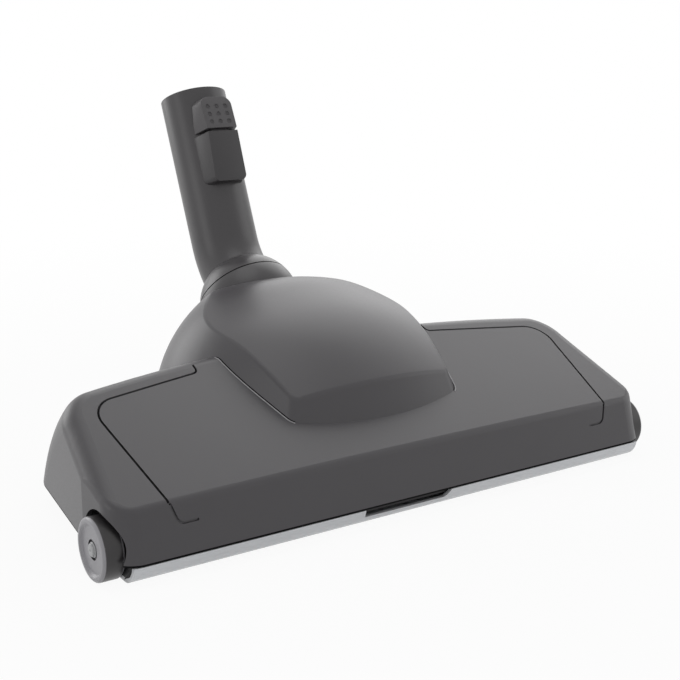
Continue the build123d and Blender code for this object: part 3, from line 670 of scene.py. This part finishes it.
class BRUSHHEAD_OT_dome_foot(bpy.types.Operator):
    """Runs a dark gutter of painted shade and a fine pale edge of painted highlight along the foot of the
    dome
    """

    bl_idname = "brush_head.dome_foot"
    bl_label = "Dome foot"

    def execute(self, context):
        sizes = context.scene.brush_head_sizes
        # The foot is a hollow edge between the dome's wall and the sloping top, inside this box.
        low_z, high_z, half_x, back_y = 34 * MM, 66 * MM, 66 * MM, -32 * MM
        hollow, slope_up, wall_up, sideways = -0.3, 0.6, -0.1, 0.5
        probe = Vector((0, 0, 4 * MM))
        shape = cover_shape()
        skin = BVHTree.FromBMesh(shape)
        foot, away = [], {}
        for edge in shape.edges:
            middle = (edge.verts[0].co + edge.verts[1].co) / 2
            if len(edge.link_faces) != 2 or not low_z < middle.z < high_z or abs(middle.x) > half_x:
                continue
            if middle.y > back_y or edge.calc_face_angle_signed() > hollow:
                continue
            wall, slope = sorted(edge.link_faces, key=lambda f: f.normal.z)
            if slope.normal.z < slope_up or wall.normal.z < wall_up:
                continue
            out = Vector((wall.normal.x, wall.normal.y, 0)).normalized()
            if abs(out.x) < sideways:
                continue
            foot.append(edge)
            for vert in edge.verts:
                away.setdefault(vert, Vector())
                away[vert] += out
        if not foot:
            raise RuntimeError("no edge was found where the dome meets the cover")
        beside = {}
        for vert, out in away.items():
            at = vert.co + out.normalized() * sizes.foot_gap
            hit = skin.ray_cast(at + probe, Vector((0, 0, -1)))[0]
            if hit is not None:
                beside[vert] = hit
        # The dark bead is painted shade in the gutter, and the pale one is a painted highlight on the edge
        # beside it.
        runs = (
            ("dome_gutter", {v: v.co for v in away}, "joint_shadow"),
            ("dome_foot_edge", beside, "edge_abs"),
        )
        for name, places, finish in runs:
            line = line_mesh(name, places, [e for e in foot if all(v in places for v in e.verts)])
            piece = add_piece(name, bead_mesh(name, line, sizes.foot_bead, material_of(finish)))
            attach(piece, "housing")
        shape.free()
        return {"FINISHED"}


class BRUSHHEAD_OT_seam_shade(bpy.types.Operator):
    """Fills the gap under the cover's lower edge with a dark bead of painted shade"""

    bl_idname = "brush_head.seam_seal"
    bl_label = "Seam seal"

    def execute(self, context):
        sizes = context.scene.brush_head_sizes
        seam_z, near = 10.7 * MM, 0.05 * MM
        # The rim is where a face that looks straight down meets a wall that doesn't.
        straight_down, wall_down = -0.95, -0.6
        heart = Vector((0, -20 * MM, 0))
        # The bead of painted shade lies a little more than its radius inside the cover's edge, so that none
        # of it stands out.
        inset = 1.15 * sizes.seam_shade_radius
        shape = cover_shape()
        rim, inward = [], {}
        for edge in shape.edges:
            if len(edge.link_faces) != 2 or any(abs(v.co.z - seam_z) > near for v in edge.verts):
                continue
            under, side = sorted(edge.link_faces, key=lambda f: f.normal.z)
            flat = Vector((side.normal.x, side.normal.y, 0))
            middle = (edge.verts[0].co + edge.verts[1].co) / 2 - heart
            outer = flat.dot(Vector((middle.x, middle.y, 0))) > 0
            if under.normal.z > straight_down or side.normal.z < wall_down or not outer:
                continue
            rim.append(edge)
            for vert in edge.verts:
                inward.setdefault(vert, Vector())
                inward[vert] -= flat.normalized()
        if not rim:
            raise RuntimeError("the cover's lower edge was not found")
        drop = Vector((0, 0, -sizes.seam_shade_radius))
        places = {v: v.co + n.normalized() * inset + drop for v, n in inward.items()}
        line = line_mesh("seam_seal", places, rim)
        shadow = material_of("joint_shadow")
        piece = add_piece("seam_seal", bead_mesh("seam_seal", line, sizes.seam_shade_radius, shadow))
        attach(piece, "housing")
        shape.free()
        return {"FINISHED"}


class BRUSHHEAD_OT_floor_ribs(bpy.types.Operator):
    """Stiffens the underside of the base with a field of crossed ribs"""

    bl_idname = "brush_head.floor_ribs"
    bl_label = "Floor ribs"

    def execute(self, context):
        sizes = context.scene.brush_head_sizes
        field_x, field_y, field_at = 156 * MM, 48 * MM, (0.0, -23 * MM, 7.7 * MM)
        tree, given = start_tree(
            "floor_ribs",
            [
                ("Across", "NodeSocketFloat"),
                ("Along", "NodeSocketFloat"),
                ("Pitch", "NodeSocketFloat"),
                ("Radius", "NodeSocketFloat"),
                ("Place", "NodeSocketVector"),
            ],
        )
        lines = {}
        for axis, size in (("X", "Across"), ("Y", "Along")):
            ends = {}
            for end, share in (("Start", -0.5), ("End", 0.5)):
                reach = add_node(
                    tree, "ShaderNodeMath", {"operation": "MULTIPLY"}, {1: share}, {0: (given, size)}
                )
                ends[end] = (add_node(tree, "ShaderNodeCombineXYZ", links={axis: (reach, 0)}), 0)
            lines[axis] = add_node(tree, "GeometryNodeCurvePrimitiveLine", links=ends)
        joined = add_node(tree, "GeometryNodeJoinGeometry")
        for run_axis, set_axis in (("Y", "X"), ("X", "Y")):
            rib = round_bar(tree, given, lines[run_axis])
            spots = add_node(
                tree,
                "GeometryNodeResampleCurve",
                {"mode": "LENGTH"},
                links={"Curve": (lines[set_axis], "Curve"), "Length": (given, "Pitch")},
            )
            field = add_node(
                tree,
                "GeometryNodeInstanceOnPoints",
                links={"Points": (spots, "Curve"), "Instance": (rib, "Mesh")},
            )
            tree.links.new(field.outputs["Instances"], joined.inputs["Geometry"])
        placed = add_node(
            tree,
            "GeometryNodeTransform",
            links={"Geometry": (joined, "Geometry"), "Translation": (given, "Place")},
        )
        end_tree(tree, placed, "Geometry", material_of("base_polypropylene"))
        values = {
            "Across": field_x,
            "Along": field_y,
            "Pitch": sizes.rib_pitch,
            "Radius": sizes.rib_radius,
            "Place": field_at,
        }
        mesh = run_tree(tree, "floor_ribs", values)
        smooth_by_angle(mesh, BEAD_SMOOTH)
        piece = add_piece("floor_ribs", mesh)
        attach(piece, "housing")
        return {"FINISHED"}


class BRUSHHEAD_OT_grip_button(bpy.types.Operator):
    """Rounds the latch's button and block, and sinks a field of grip dimples into the button"""

    bl_idname = "brush_head.grip_button"
    bl_label = "Grip button"

    def execute(self, context):
        sizes = context.scene.brush_head_sizes
        # The button's face leans: its top edge and its foot, out from the tube's axis and down from the rim.
        face_top, face_foot = (22.4 * MM, 7.4 * MM), (24.2 * MM, 24.8 * MM)
        # The field of dimples lies a little below the middle of the face.
        field_share, dimples, latch_smooth = 0.555, 3, 32
        tree, given = start_tree(
            "grip_dimples",
            [
                ("Across", "NodeSocketFloat"),
                ("Along", "NodeSocketFloat"),
                ("Ball Radius", "NodeSocketFloat"),
            ],
        )
        spans = [
            add_node(
                tree, "ShaderNodeMath", {"operation": "MULTIPLY"}, {1: dimples - 1}, {0: (given, pitch)}
            )
            for pitch in ("Across", "Along")
        ]
        grid = add_node(
            tree,
            "GeometryNodeMeshGrid",
            values={"Vertices X": dimples, "Vertices Y": dimples},
            links={"Size X": (spans[0], 0), "Size Y": (spans[1], 0)},
        )
        ball = add_node(
            tree,
            "GeometryNodeMeshUVSphere",
            values={"Segments": 24, "Rings": 16},
            links={"Radius": (given, "Ball Radius")},
        )
        placed = add_node(
            tree,
            "GeometryNodeInstanceOnPoints",
            links={"Points": (grid, "Mesh"), "Instance": (ball, "Mesh")},
        )
        end_tree(tree, placed, "Instances", material_of("button_abs"))
        ball_r = (sizes.dimple_radius**2 + sizes.dimple_depth**2) / (2 * sizes.dimple_depth)
        values = {"Across": sizes.dimple_across, "Along": sizes.dimple_along, "Ball Radius": ball_r}
        balls = run_tree(tree, "grip_balls", values)
        top, foot = neck_place(0, *face_top), neck_place(0, *face_foot)
        down = (foot - top).normalized()
        out = Vector((1, 0, 0)).cross(-down).normalized()
        if out.dot(NECK_FRONT) < 0:
            out = -out
        centre = top.lerp(foot, field_share) + out * (ball_r - sizes.dimple_depth)
        turn = Matrix((Vector((1, 0, 0)), -down, out)).transposed().to_4x4()
        balls.transform(Matrix.Translation(centre) @ turn)
        cutter = add_piece("grip_cutter", balls)
        button = add_piece("grip_button", softened_copy("latch_button", "grip_button", sizes.latch_round))
        cut_away(button, cutter)
        dress(button, material_of("button_abs"))
        smooth_by_angle(button.data, latch_smooth)
        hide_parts("latch_button")
        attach(button, "latch")
        block = add_piece("latch_block", softened_copy("latch_housing", "latch_block", sizes.latch_round))
        dress(block, material_of("latch_abs"))
        smooth_by_angle(block.data, latch_smooth)
        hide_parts("latch_housing")
        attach(block, "neck")
        return {"FINISHED"}


class BRUSHHEAD_OT_return_spring(bpy.types.Operator):
    """Gives the latch's return spring a smooth-shaded copy that rides on the neck"""

    bl_idname = "brush_head.return_spring"
    bl_label = "Return spring"

    def execute(self, context):
        # The spring stands on the tube. Its wire is shaded smooth up to this angle in degrees.
        wire_smooth = 50
        spring = add_piece("return_spring", merged_copy("latch_spring", "return_spring"))
        smooth_by_angle(spring.data, wire_smooth)
        dress(spring, material_of("zinc_steel"))
        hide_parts("latch_spring")
        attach(spring, "neck")
        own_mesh(spring)
        return {"FINISHED"}


def bristle_tree():
    """A geometry tree that plants a run of tufts along the brush roll's axis and winds it round the roll."""
    # Filaments lean by up to this angle in radians, at any turn, and differ a little in length.
    lean, spin, shortest, longest = 0.09, 6.28, 0.93, 0.99
    tuft_ring, filament_sides = 11, 5
    tree, given = start_tree(
        "bristle_row",
        [
            ("Start", "NodeSocketVector"),
            ("End", "NodeSocketVector"),
            ("Start Angle", "NodeSocketFloat"),
            ("Twist", "NodeSocketFloat"),
            ("Spacing", "NodeSocketFloat"),
            ("Root", "NodeSocketFloat"),
            ("Reach", "NodeSocketFloat"),
            ("Tuft Radius", "NodeSocketFloat"),
            ("Filament Radius", "NodeSocketFloat"),
            ("Seed", "NodeSocketInt"),
        ],
    )
    line = add_node(
        tree, "GeometryNodeCurvePrimitiveLine", links={"Start": (given, "Start"), "End": (given, "End")}
    )
    spots = add_node(
        tree,
        "GeometryNodeResampleCurve",
        {"mode": "LENGTH"},
        links={"Curve": (line, "Curve"), "Length": (given, "Spacing")},
    )
    here = add_node(tree, "GeometryNodeInputPosition")
    away = add_node(
        tree, "ShaderNodeVectorMath", {"operation": "SUBTRACT"}, links={0: (here, 0), 1: (given, "Start")}
    )
    along = add_node(tree, "ShaderNodeSeparateXYZ", links={0: (away, 0)})
    wound = add_node(
        tree,
        "ShaderNodeMath",
        {"operation": "MULTIPLY_ADD"},
        links={0: (along, "X"), 1: (given, "Twist"), 2: (given, "Start Angle")},
    )
    facing = add_node(tree, "ShaderNodeCombineXYZ", links={"X": (wound, 0)})
    # One tuft: a disc of filaments that splay a little towards their tips.
    disc = add_node(
        tree,
        "GeometryNodeMeshCircle",
        {"fill_type": "TRIANGLE_FAN"},
        {"Vertices": tuft_ring},
        {"Radius": (given, "Tuft Radius")},
    )
    filament = add_node(
        tree,
        "GeometryNodeMeshCone",
        {"fill_type": "NGON"},
        {"Vertices": filament_sides},
        {
            "Radius Bottom": (given, "Filament Radius"),
            "Radius Top": (given, "Filament Radius"),
            "Depth": (given, "Reach"),
        },
    )
    splay = add_node(
        tree,
        "FunctionNodeRandomValue",
        {"data_type": "FLOAT_VECTOR"},
        {0: (-lean, -lean, 0.0), 1: (lean, lean, spin)},
        {"Seed": (given, "Seed")},
    )
    shorter = add_node(
        tree,
        "FunctionNodeRandomValue",
        {"data_type": "FLOAT"},
        {2: shortest, 3: longest},
        {"Seed": (given, "Seed")},
    )
    stretch = add_node(
        tree, "ShaderNodeCombineXYZ", values={"X": 1.0, "Y": 1.0}, links={"Z": (shorter, 1)}
    )
    tuft = add_node(
        tree,
        "GeometryNodeInstanceOnPoints",
        links={
            "Points": (disc, "Mesh"),
            "Instance": (filament, "Mesh"),
            "Rotation": (splay, "Value"),
            "Scale": (stretch, 0),
        },
    )
    raised = add_node(tree, "ShaderNodeCombineXYZ", links={"Z": (given, "Root")})
    tuft = add_node(
        tree,
        "GeometryNodeTransform",
        links={"Geometry": (tuft, "Instances"), "Translation": (raised, 0)},
    )
    row = add_node(
        tree,
        "GeometryNodeInstanceOnPoints",
        links={"Points": (spots, "Curve"), "Instance": (tuft, "Geometry"), "Rotation": (facing, 0)},
    )
    tone = add_node(
        tree,
        "FunctionNodeRandomValue",
        {"data_type": "FLOAT"},
        {2: 0.0, 3: 1.0},
        {"Seed": (given, "Seed")},
    )
    marked = add_node(
        tree,
        "GeometryNodeStoreNamedAttribute",
        {"domain": "INSTANCE", "data_type": "FLOAT"},
        {"Name": "tuft_tone"},
        {"Geometry": (row, "Instances"), "Value": (tone, 1)},
    )
    end_tree(tree, marked, "Geometry", material_of("bristle_nylon"))
    return tree


class BRUSHHEAD_OT_bristles(bpy.types.Operator):
    """Plants nylon tufts along the brush roll's twisted rows"""

    bl_idname = "brush_head.bristles"
    bl_label = "Bristles"

    def execute(self, context):
        sizes = context.scene.brush_head_sizes
        # Two rows wind one way up to the belt and the other way after it. The twist is the turn in a metre.
        rows, twist, first_seed = 2, math.radians(1050), 7
        end, belt, gap = 108 * MM, 43 * MM, 5 * MM
        tip_r, sunk = 17.4 * MM, 0.2 * MM
        low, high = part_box("brush_core")
        axis = (low + high) / 2
        core_r = (high.z - low.z) / 2
        tree = bristle_tree()
        joined = bmesh.new()
        for row_index in range(rows):
            angle = math.pi * row_index
            runs = (
                (-end, belt - gap, angle, twist),
                (belt + gap, end, angle + twist * (belt + end), -twist),
            )
            for run_index, (x_low, x_high, start_angle, turn) in enumerate(runs):
                values = {
                    "Start": (x_low + sizes.tuft_radius, axis.y, axis.z),
                    "End": (x_high - sizes.tuft_radius, axis.y, axis.z),
                    "Start Angle": start_angle,
                    "Twist": turn,
                    "Spacing": sizes.tuft_spacing,
                    "Root": core_r - sunk,
                    "Reach": tip_r - core_r,
                    "Tuft Radius": sizes.tuft_radius,
                    "Filament Radius": sizes.filament_radius,
                    "Seed": first_seed + len(runs) * row_index + run_index,
                }
                mesh = run_tree(tree, "bristle_run", values)
                joined.from_mesh(mesh)
                bpy.data.meshes.remove(mesh)
        mesh = bpy.data.meshes.new("bristle_tufts")
        joined.to_mesh(mesh)
        joined.free()
        piece = add_piece("bristle_tufts", mesh)
        dress(piece, material_of("bristle_nylon"))
        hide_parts("bristle_rows")
        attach(piece, "brush_roll")
        return {"FINISHED"}


def turned_mesh(name, profile):
    """A solid of revolution about z from (radius, height) pairs that start and end on the axis."""
    sides = 24
    shape = bmesh.new()
    ring = [shape.verts.new((r, 0, z)) for r, z in profile]
    edges = [shape.edges.new(pair) for pair in zip(ring, ring[1:])]
    bmesh.ops.spin(
        shape,
        geom=ring + edges,
        cent=(0, 0, 0),
        axis=(0, 0, 1),
        angle=2 * math.pi,
        steps=sides,
        use_duplicate=False,
    )
    bmesh.ops.remove_doubles(shape, verts=shape.verts, dist=JOIN_WITHIN)
    bmesh.ops.recalc_face_normals(shape, faces=shape.faces)
    mesh = bpy.data.meshes.new(name)
    shape.to_mesh(mesh)
    shape.free()
    return mesh


class BRUSHHEAD_OT_axle_caps(bpy.types.Operator):
    """Rounds the ends of the front axles, each with the dimple of its moulding gate"""

    bl_idname = "brush_head.axle_caps"
    bl_label = "Axle caps"

    def execute(self, context):
        cap_r, cap_t, seat, cap_smooth = 2.8 * MM, 0.85 * MM, 0.2 * MM, 40
        # From the gate's dimple over the rounded edge to the seat, in shares of radius and thickness.
        gate = ((0.0, 0.7), (0.15, 0.72), (0.22, 1.0))
        edge = ((0.6, 0.98), (0.85, 0.85), (0.97, 0.55), (1.0, 0.0), (0.0, 0.0))
        profile = [(cap_r * out, cap_t * up) for out, up in gate + edge]
        shape = bmesh.new()
        for node, side in (("front_axle_left", -1), ("front_axle_right", 1)):
            low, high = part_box(node)
            middle = (low + high) / 2
            face = low.x + seat if side < 0 else high.x - seat
            cap = turned_mesh("axle_cap", profile)
            turn = Matrix.Rotation(side * math.pi / 2, 4, "Y")
            cap.transform(Matrix.Translation((face, middle.y, middle.z)) @ turn)
            shape.from_mesh(cap)
            bpy.data.meshes.remove(cap)
        mesh = bpy.data.meshes.new("axle_caps")
        shape.to_mesh(mesh)
        shape.free()
        smooth_by_angle(mesh, cap_smooth)
        piece = add_piece("axle_caps", mesh)
        dress(piece, material_of("pin_acetal"))
        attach(piece, "housing")
        return {"FINISHED"}


class BRUSHHEAD_OT_screws(bpy.types.Operator):
    """Gives the six housing screws rounded heads with a cross recess"""

    bl_idname = "brush_head.screws"
    bl_label = "Screws"

    def execute(self, context):
        sizes = context.scene.brush_head_sizes
        head_r, head_t, shank_r, screw_l = 3.3 * MM, 1.7 * MM, 1.5 * MM, 14.5 * MM
        crown_r, shoulder_r = 0.7 * head_r, 0.93 * head_r
        shoulder_t, rim_t = 0.25 * MM, 0.7 * MM
        slot_w, slot_d = 0.75 * MM, 1.0 * MM
        head_smooth, seed, half_turn = 35, 3, 3.14
        # The screws' places on one side in millimetres, out from the head's middle and back from the axle.
        half_set = ((100, 62), (96, 88), (56, 104))
        profile = [
            (0.0, 0.0),
            (crown_r, 0.0),
            (shoulder_r, shoulder_t),
            (head_r, rim_t),
            (head_r, head_t),
            (shank_r, head_t),
            (shank_r, screw_l),
            (0.0, screw_l),
        ]
        blank = add_piece("screw_blank", turned_mesh("screw_blank", profile))
        # Turned off the head's own facets, so that the cut leaves no slivers.
        off_facets = 7.5
        for turn in (off_facets, off_facets + 90):
            slot = bmesh.new()
            size = Matrix.Diagonal((2 * sizes.screw_recess, slot_w, 2 * slot_d, 1))
            bmesh.ops.create_cube(slot, size=1, matrix=size)
            slot.transform(Matrix.Rotation(math.radians(turn), 4, "Z"))
            slot_mesh = bpy.data.meshes.new("screw_slot")
            slot.to_mesh(slot_mesh)
            slot.free()
            cut_away(blank, add_piece("screw_slot", slot_mesh))
        smooth_by_angle(blank.data, head_smooth)
        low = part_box("housing_screws")[0]
        spots = [(side * x * MM, y * MM + AXLE_Y, low.z) for side in (-1, 1) for x, y in half_set]
        places = bpy.data.meshes.new("screw_places")
        places.from_pydata(spots, [], [])
        tree, given = start_tree(
            "screw_set",
            [
                ("Geometry", "NodeSocketGeometry"),
                ("Screw", "NodeSocketObject"),
                ("Seed", "NodeSocketInt"),
            ],
        )
        screw = add_node(tree, "GeometryNodeObjectInfo", links={"Object": (given, "Screw")})
        turned = add_node(
            tree,
            "FunctionNodeRandomValue",
            {"data_type": "FLOAT_VECTOR"},
            {0: (0.0, 0.0, 0.0), 1: (0.0, 0.0, half_turn)},
            {"Seed": (given, "Seed")},
        )
        placed = add_node(
            tree,
            "GeometryNodeInstanceOnPoints",
            links={
                "Points": (given, "Geometry"),
                "Instance": (screw, "Geometry"),
                "Rotation": (turned, "Value"),
            },
        )
        end_tree(tree, placed, "Instances", material_of("zinc_steel"))
        made = run_tree(tree, "cross_screws", {"Screw": blank, "Seed": seed}, places)
        bpy.data.objects.remove(blank)
        piece = add_piece("cross_screws", made)
        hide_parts("housing_screws")
        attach(piece, "housing")
        return {"FINISHED"}


def seen_rays(tree):
    """A factor that is one for what the camera, a reflection or a clear pane sees, and nothing for light."""
    rays = add_node(tree, "ShaderNodeLightPath")
    indirect = add_node(
        tree,
        "ShaderNodeMath",
        {"operation": "MAXIMUM"},
        links={0: (rays, "Is Glossy Ray"), 1: (rays, "Is Transmission Ray")},
    )
    return add_node(
        tree,
        "ShaderNodeMath",
        {"operation": "MAXIMUM"},
        links={0: (rays, "Is Camera Ray"), 1: (indirect, 0)},
    )


def studio_paper(colour):
    """Matt paper sweep: seen as white, with only the soft shadow of the part left on it."""
    paper, tree = new_material("studio_paper")
    sheet = add_node(tree, "ShaderNodeBsdfDiffuse", values={"Color": colour, "Roughness": 0.8})
    glow = add_node(tree, "ShaderNodeEmission", values={"Color": WHITE, "Strength": 1.0})
    place = add_node(tree, "ShaderNodeTexCoord")
    away = add_node(tree, "ShaderNodeVectorMath", {"operation": "LENGTH"}, links={0: (place, "Object")})
    # The paper takes the part's shadow close by and fades to plain white further out.
    fade = add_node(
        tree,
        "ShaderNodeMapRange",
        values={"From Min": 0.2, "From Max": 0.7, "To Min": 0.93, "To Max": 1.0},
        links={"Value": (away, "Value")},
    )
    seen = add_node(
        tree,
        "ShaderNodeMath",
        {"operation": "MULTIPLY"},
        links={0: (seen_rays(tree), 0), 1: (fade, "Result")},
    )
    mixed = add_node(tree, "ShaderNodeMixShader", links={0: (seen, 0), 1: (sheet, 0), 2: (glow, 0)})
    add_node(tree, "ShaderNodeOutputMaterial", links={"Surface": (mixed, 0)})
    return paper


def studio_world(sky):
    """A world that is seen as white and lights the part from all round."""
    world = bpy.data.worlds.new("studio_white")
    world.use_nodes = True
    tree = world.node_tree
    tree.nodes.clear()
    soft = add_node(tree, "ShaderNodeBackground", values={"Color": WHITE, "Strength": sky})
    white = add_node(tree, "ShaderNodeBackground", values={"Color": WHITE, "Strength": 1.0})
    seen = seen_rays(tree)
    mixed = add_node(tree, "ShaderNodeMixShader", links={0: (seen, 0), 1: (soft, 0), 2: (white, 0)})
    add_node(tree, "ShaderNodeOutputWorld", links={"Surface": (mixed, 0)})
    return world


def aimed(way):
    """The turn of a lamp or a camera that looks along a way."""
    return way.to_track_quat("-Z", "Y").to_euler()


class BRUSHHEAD_OT_studio(bpy.types.Operator):
    """Sets the pale floor, the soft light and the camera at the photograph's angle"""

    bl_idname = "brush_head.studio"
    bl_label = "Studio"

    def execute(self, context):
        scene = context.scene
        studio = scene.brush_head_studio
        # Places and widths of the round softboxes in metres, and the point that they all face.
        softboxes = (
            ("side", (-0.6, 1.25, 0.45), 0.9),
            ("left", (-1.25, 0.1, 0.35), 0.6),
            ("right", (1.2, -0.5, 0.45), 1.0),
            ("top", (-0.15, 0.05, 1.3), 0.9),
            ("back", (0.8, 0.75, 0.9), 1.5),
        )
        lit = Vector((0, 0, 0.05))
        # The camera's place and its way of looking were fitted to the photograph.
        camera_at, looking = Vector((-322.1, -529.0, 215.8)) * MM, Vector((0.5391, 0.8051, -0.2472))
        floor_reach = 6.0
        scene.view_settings.view_transform = "Standard"
        floor_mesh = bpy.data.meshes.new("studio_floor")
        corners = [(x * floor_reach, y * floor_reach, 0) for x, y in ((-1, -1), (1, -1), (1, 1), (-1, 1))]
        floor_mesh.from_pydata(corners, [], [(0, 1, 2, 3)])
        floor = add_piece("studio_floor", floor_mesh)
        dress(floor, studio_paper(studio.floor))
        scene.world = studio_world(studio.sky)
        for name, place, width in softboxes:
            lamp = bpy.data.lights.new(name + "_softbox", "AREA")
            lamp.shape = "DISK"
            lamp.size = width
            lamp.energy = getattr(studio, name)
            light = bpy.data.objects.new(lamp.name, lamp)
            light.location = place
            light.rotation_euler = aimed(lit - Vector(place))
            scene.collection.objects.link(light)
        lens = bpy.data.cameras.new("photo_camera")
        lens.sensor_width = 36.0
        lens.lens = studio.lens
        camera = bpy.data.objects.new("photo_camera", lens)
        camera.location = camera_at
        camera.rotation_euler = aimed(looking)
        scene.collection.objects.link(camera)
        scene.camera = camera
        return {"FINISHED"}


OPERATORS = (
    BRUSHHEAD_OT_finishes,
    BRUSHHEAD_OT_panel_lines,
    BRUSHHEAD_OT_dome_foot,
    BRUSHHEAD_OT_seam_shade,
    BRUSHHEAD_OT_floor_ribs,
    BRUSHHEAD_OT_grip_button,
    BRUSHHEAD_OT_return_spring,
    BRUSHHEAD_OT_bristles,
    BRUSHHEAD_OT_axle_caps,
    BRUSHHEAD_OT_screws,
    BRUSHHEAD_OT_studio,
)


class BRUSHHEAD_PT_panel(bpy.types.Panel):
    """Lists the steps that dress the brush head"""

    bl_idname = "BRUSHHEAD_PT_panel"
    bl_label = "Brush Head"
    bl_space_type = "VIEW_3D"
    bl_region_type = "UI"
    bl_category = "Brush Head"

    def draw(self, context):
        for step in OPERATORS:
            self.layout.operator(step.bl_idname)
        for group in ("brush_head_colours", "brush_head_sizes", "brush_head_studio"):
            settings = getattr(context.scene, group)
            box = self.layout.box()
            for key in settings.bl_rna.properties.keys():
                if key not in ("rna_type", "name"):
                    box.prop(settings, key)


CLASSES = (BrushHeadColours, BrushHeadSizes, BrushHeadStudio, *OPERATORS, BRUSHHEAD_PT_panel)


def register():
    for made in CLASSES:
        bpy.utils.register_class(made)
    bpy.types.Scene.brush_head_colours = bpy.props.PointerProperty(type=BrushHeadColours)
    bpy.types.Scene.brush_head_sizes = bpy.props.PointerProperty(type=BrushHeadSizes)
    bpy.types.Scene.brush_head_studio = bpy.props.PointerProperty(type=BrushHeadStudio)


def unregister():
    del bpy.types.Scene.brush_head_studio
    del bpy.types.Scene.brush_head_sizes
    del bpy.types.Scene.brush_head_colours
    for made in reversed(CLASSES):
        bpy.utils.unregister_class(made)


def main():
    register()
    bpy.ops.brush_head.finishes()
    bpy.ops.brush_head.panel_lines()
    bpy.ops.brush_head.dome_foot()
    bpy.ops.brush_head.seam_seal()
    bpy.ops.brush_head.floor_ribs()
    bpy.ops.brush_head.grip_button()
    bpy.ops.brush_head.return_spring()
    bpy.ops.brush_head.bristles()
    bpy.ops.brush_head.axle_caps()
    bpy.ops.brush_head.screws()
    bpy.ops.brush_head.studio()


if __name__ == "__main__":
    main()
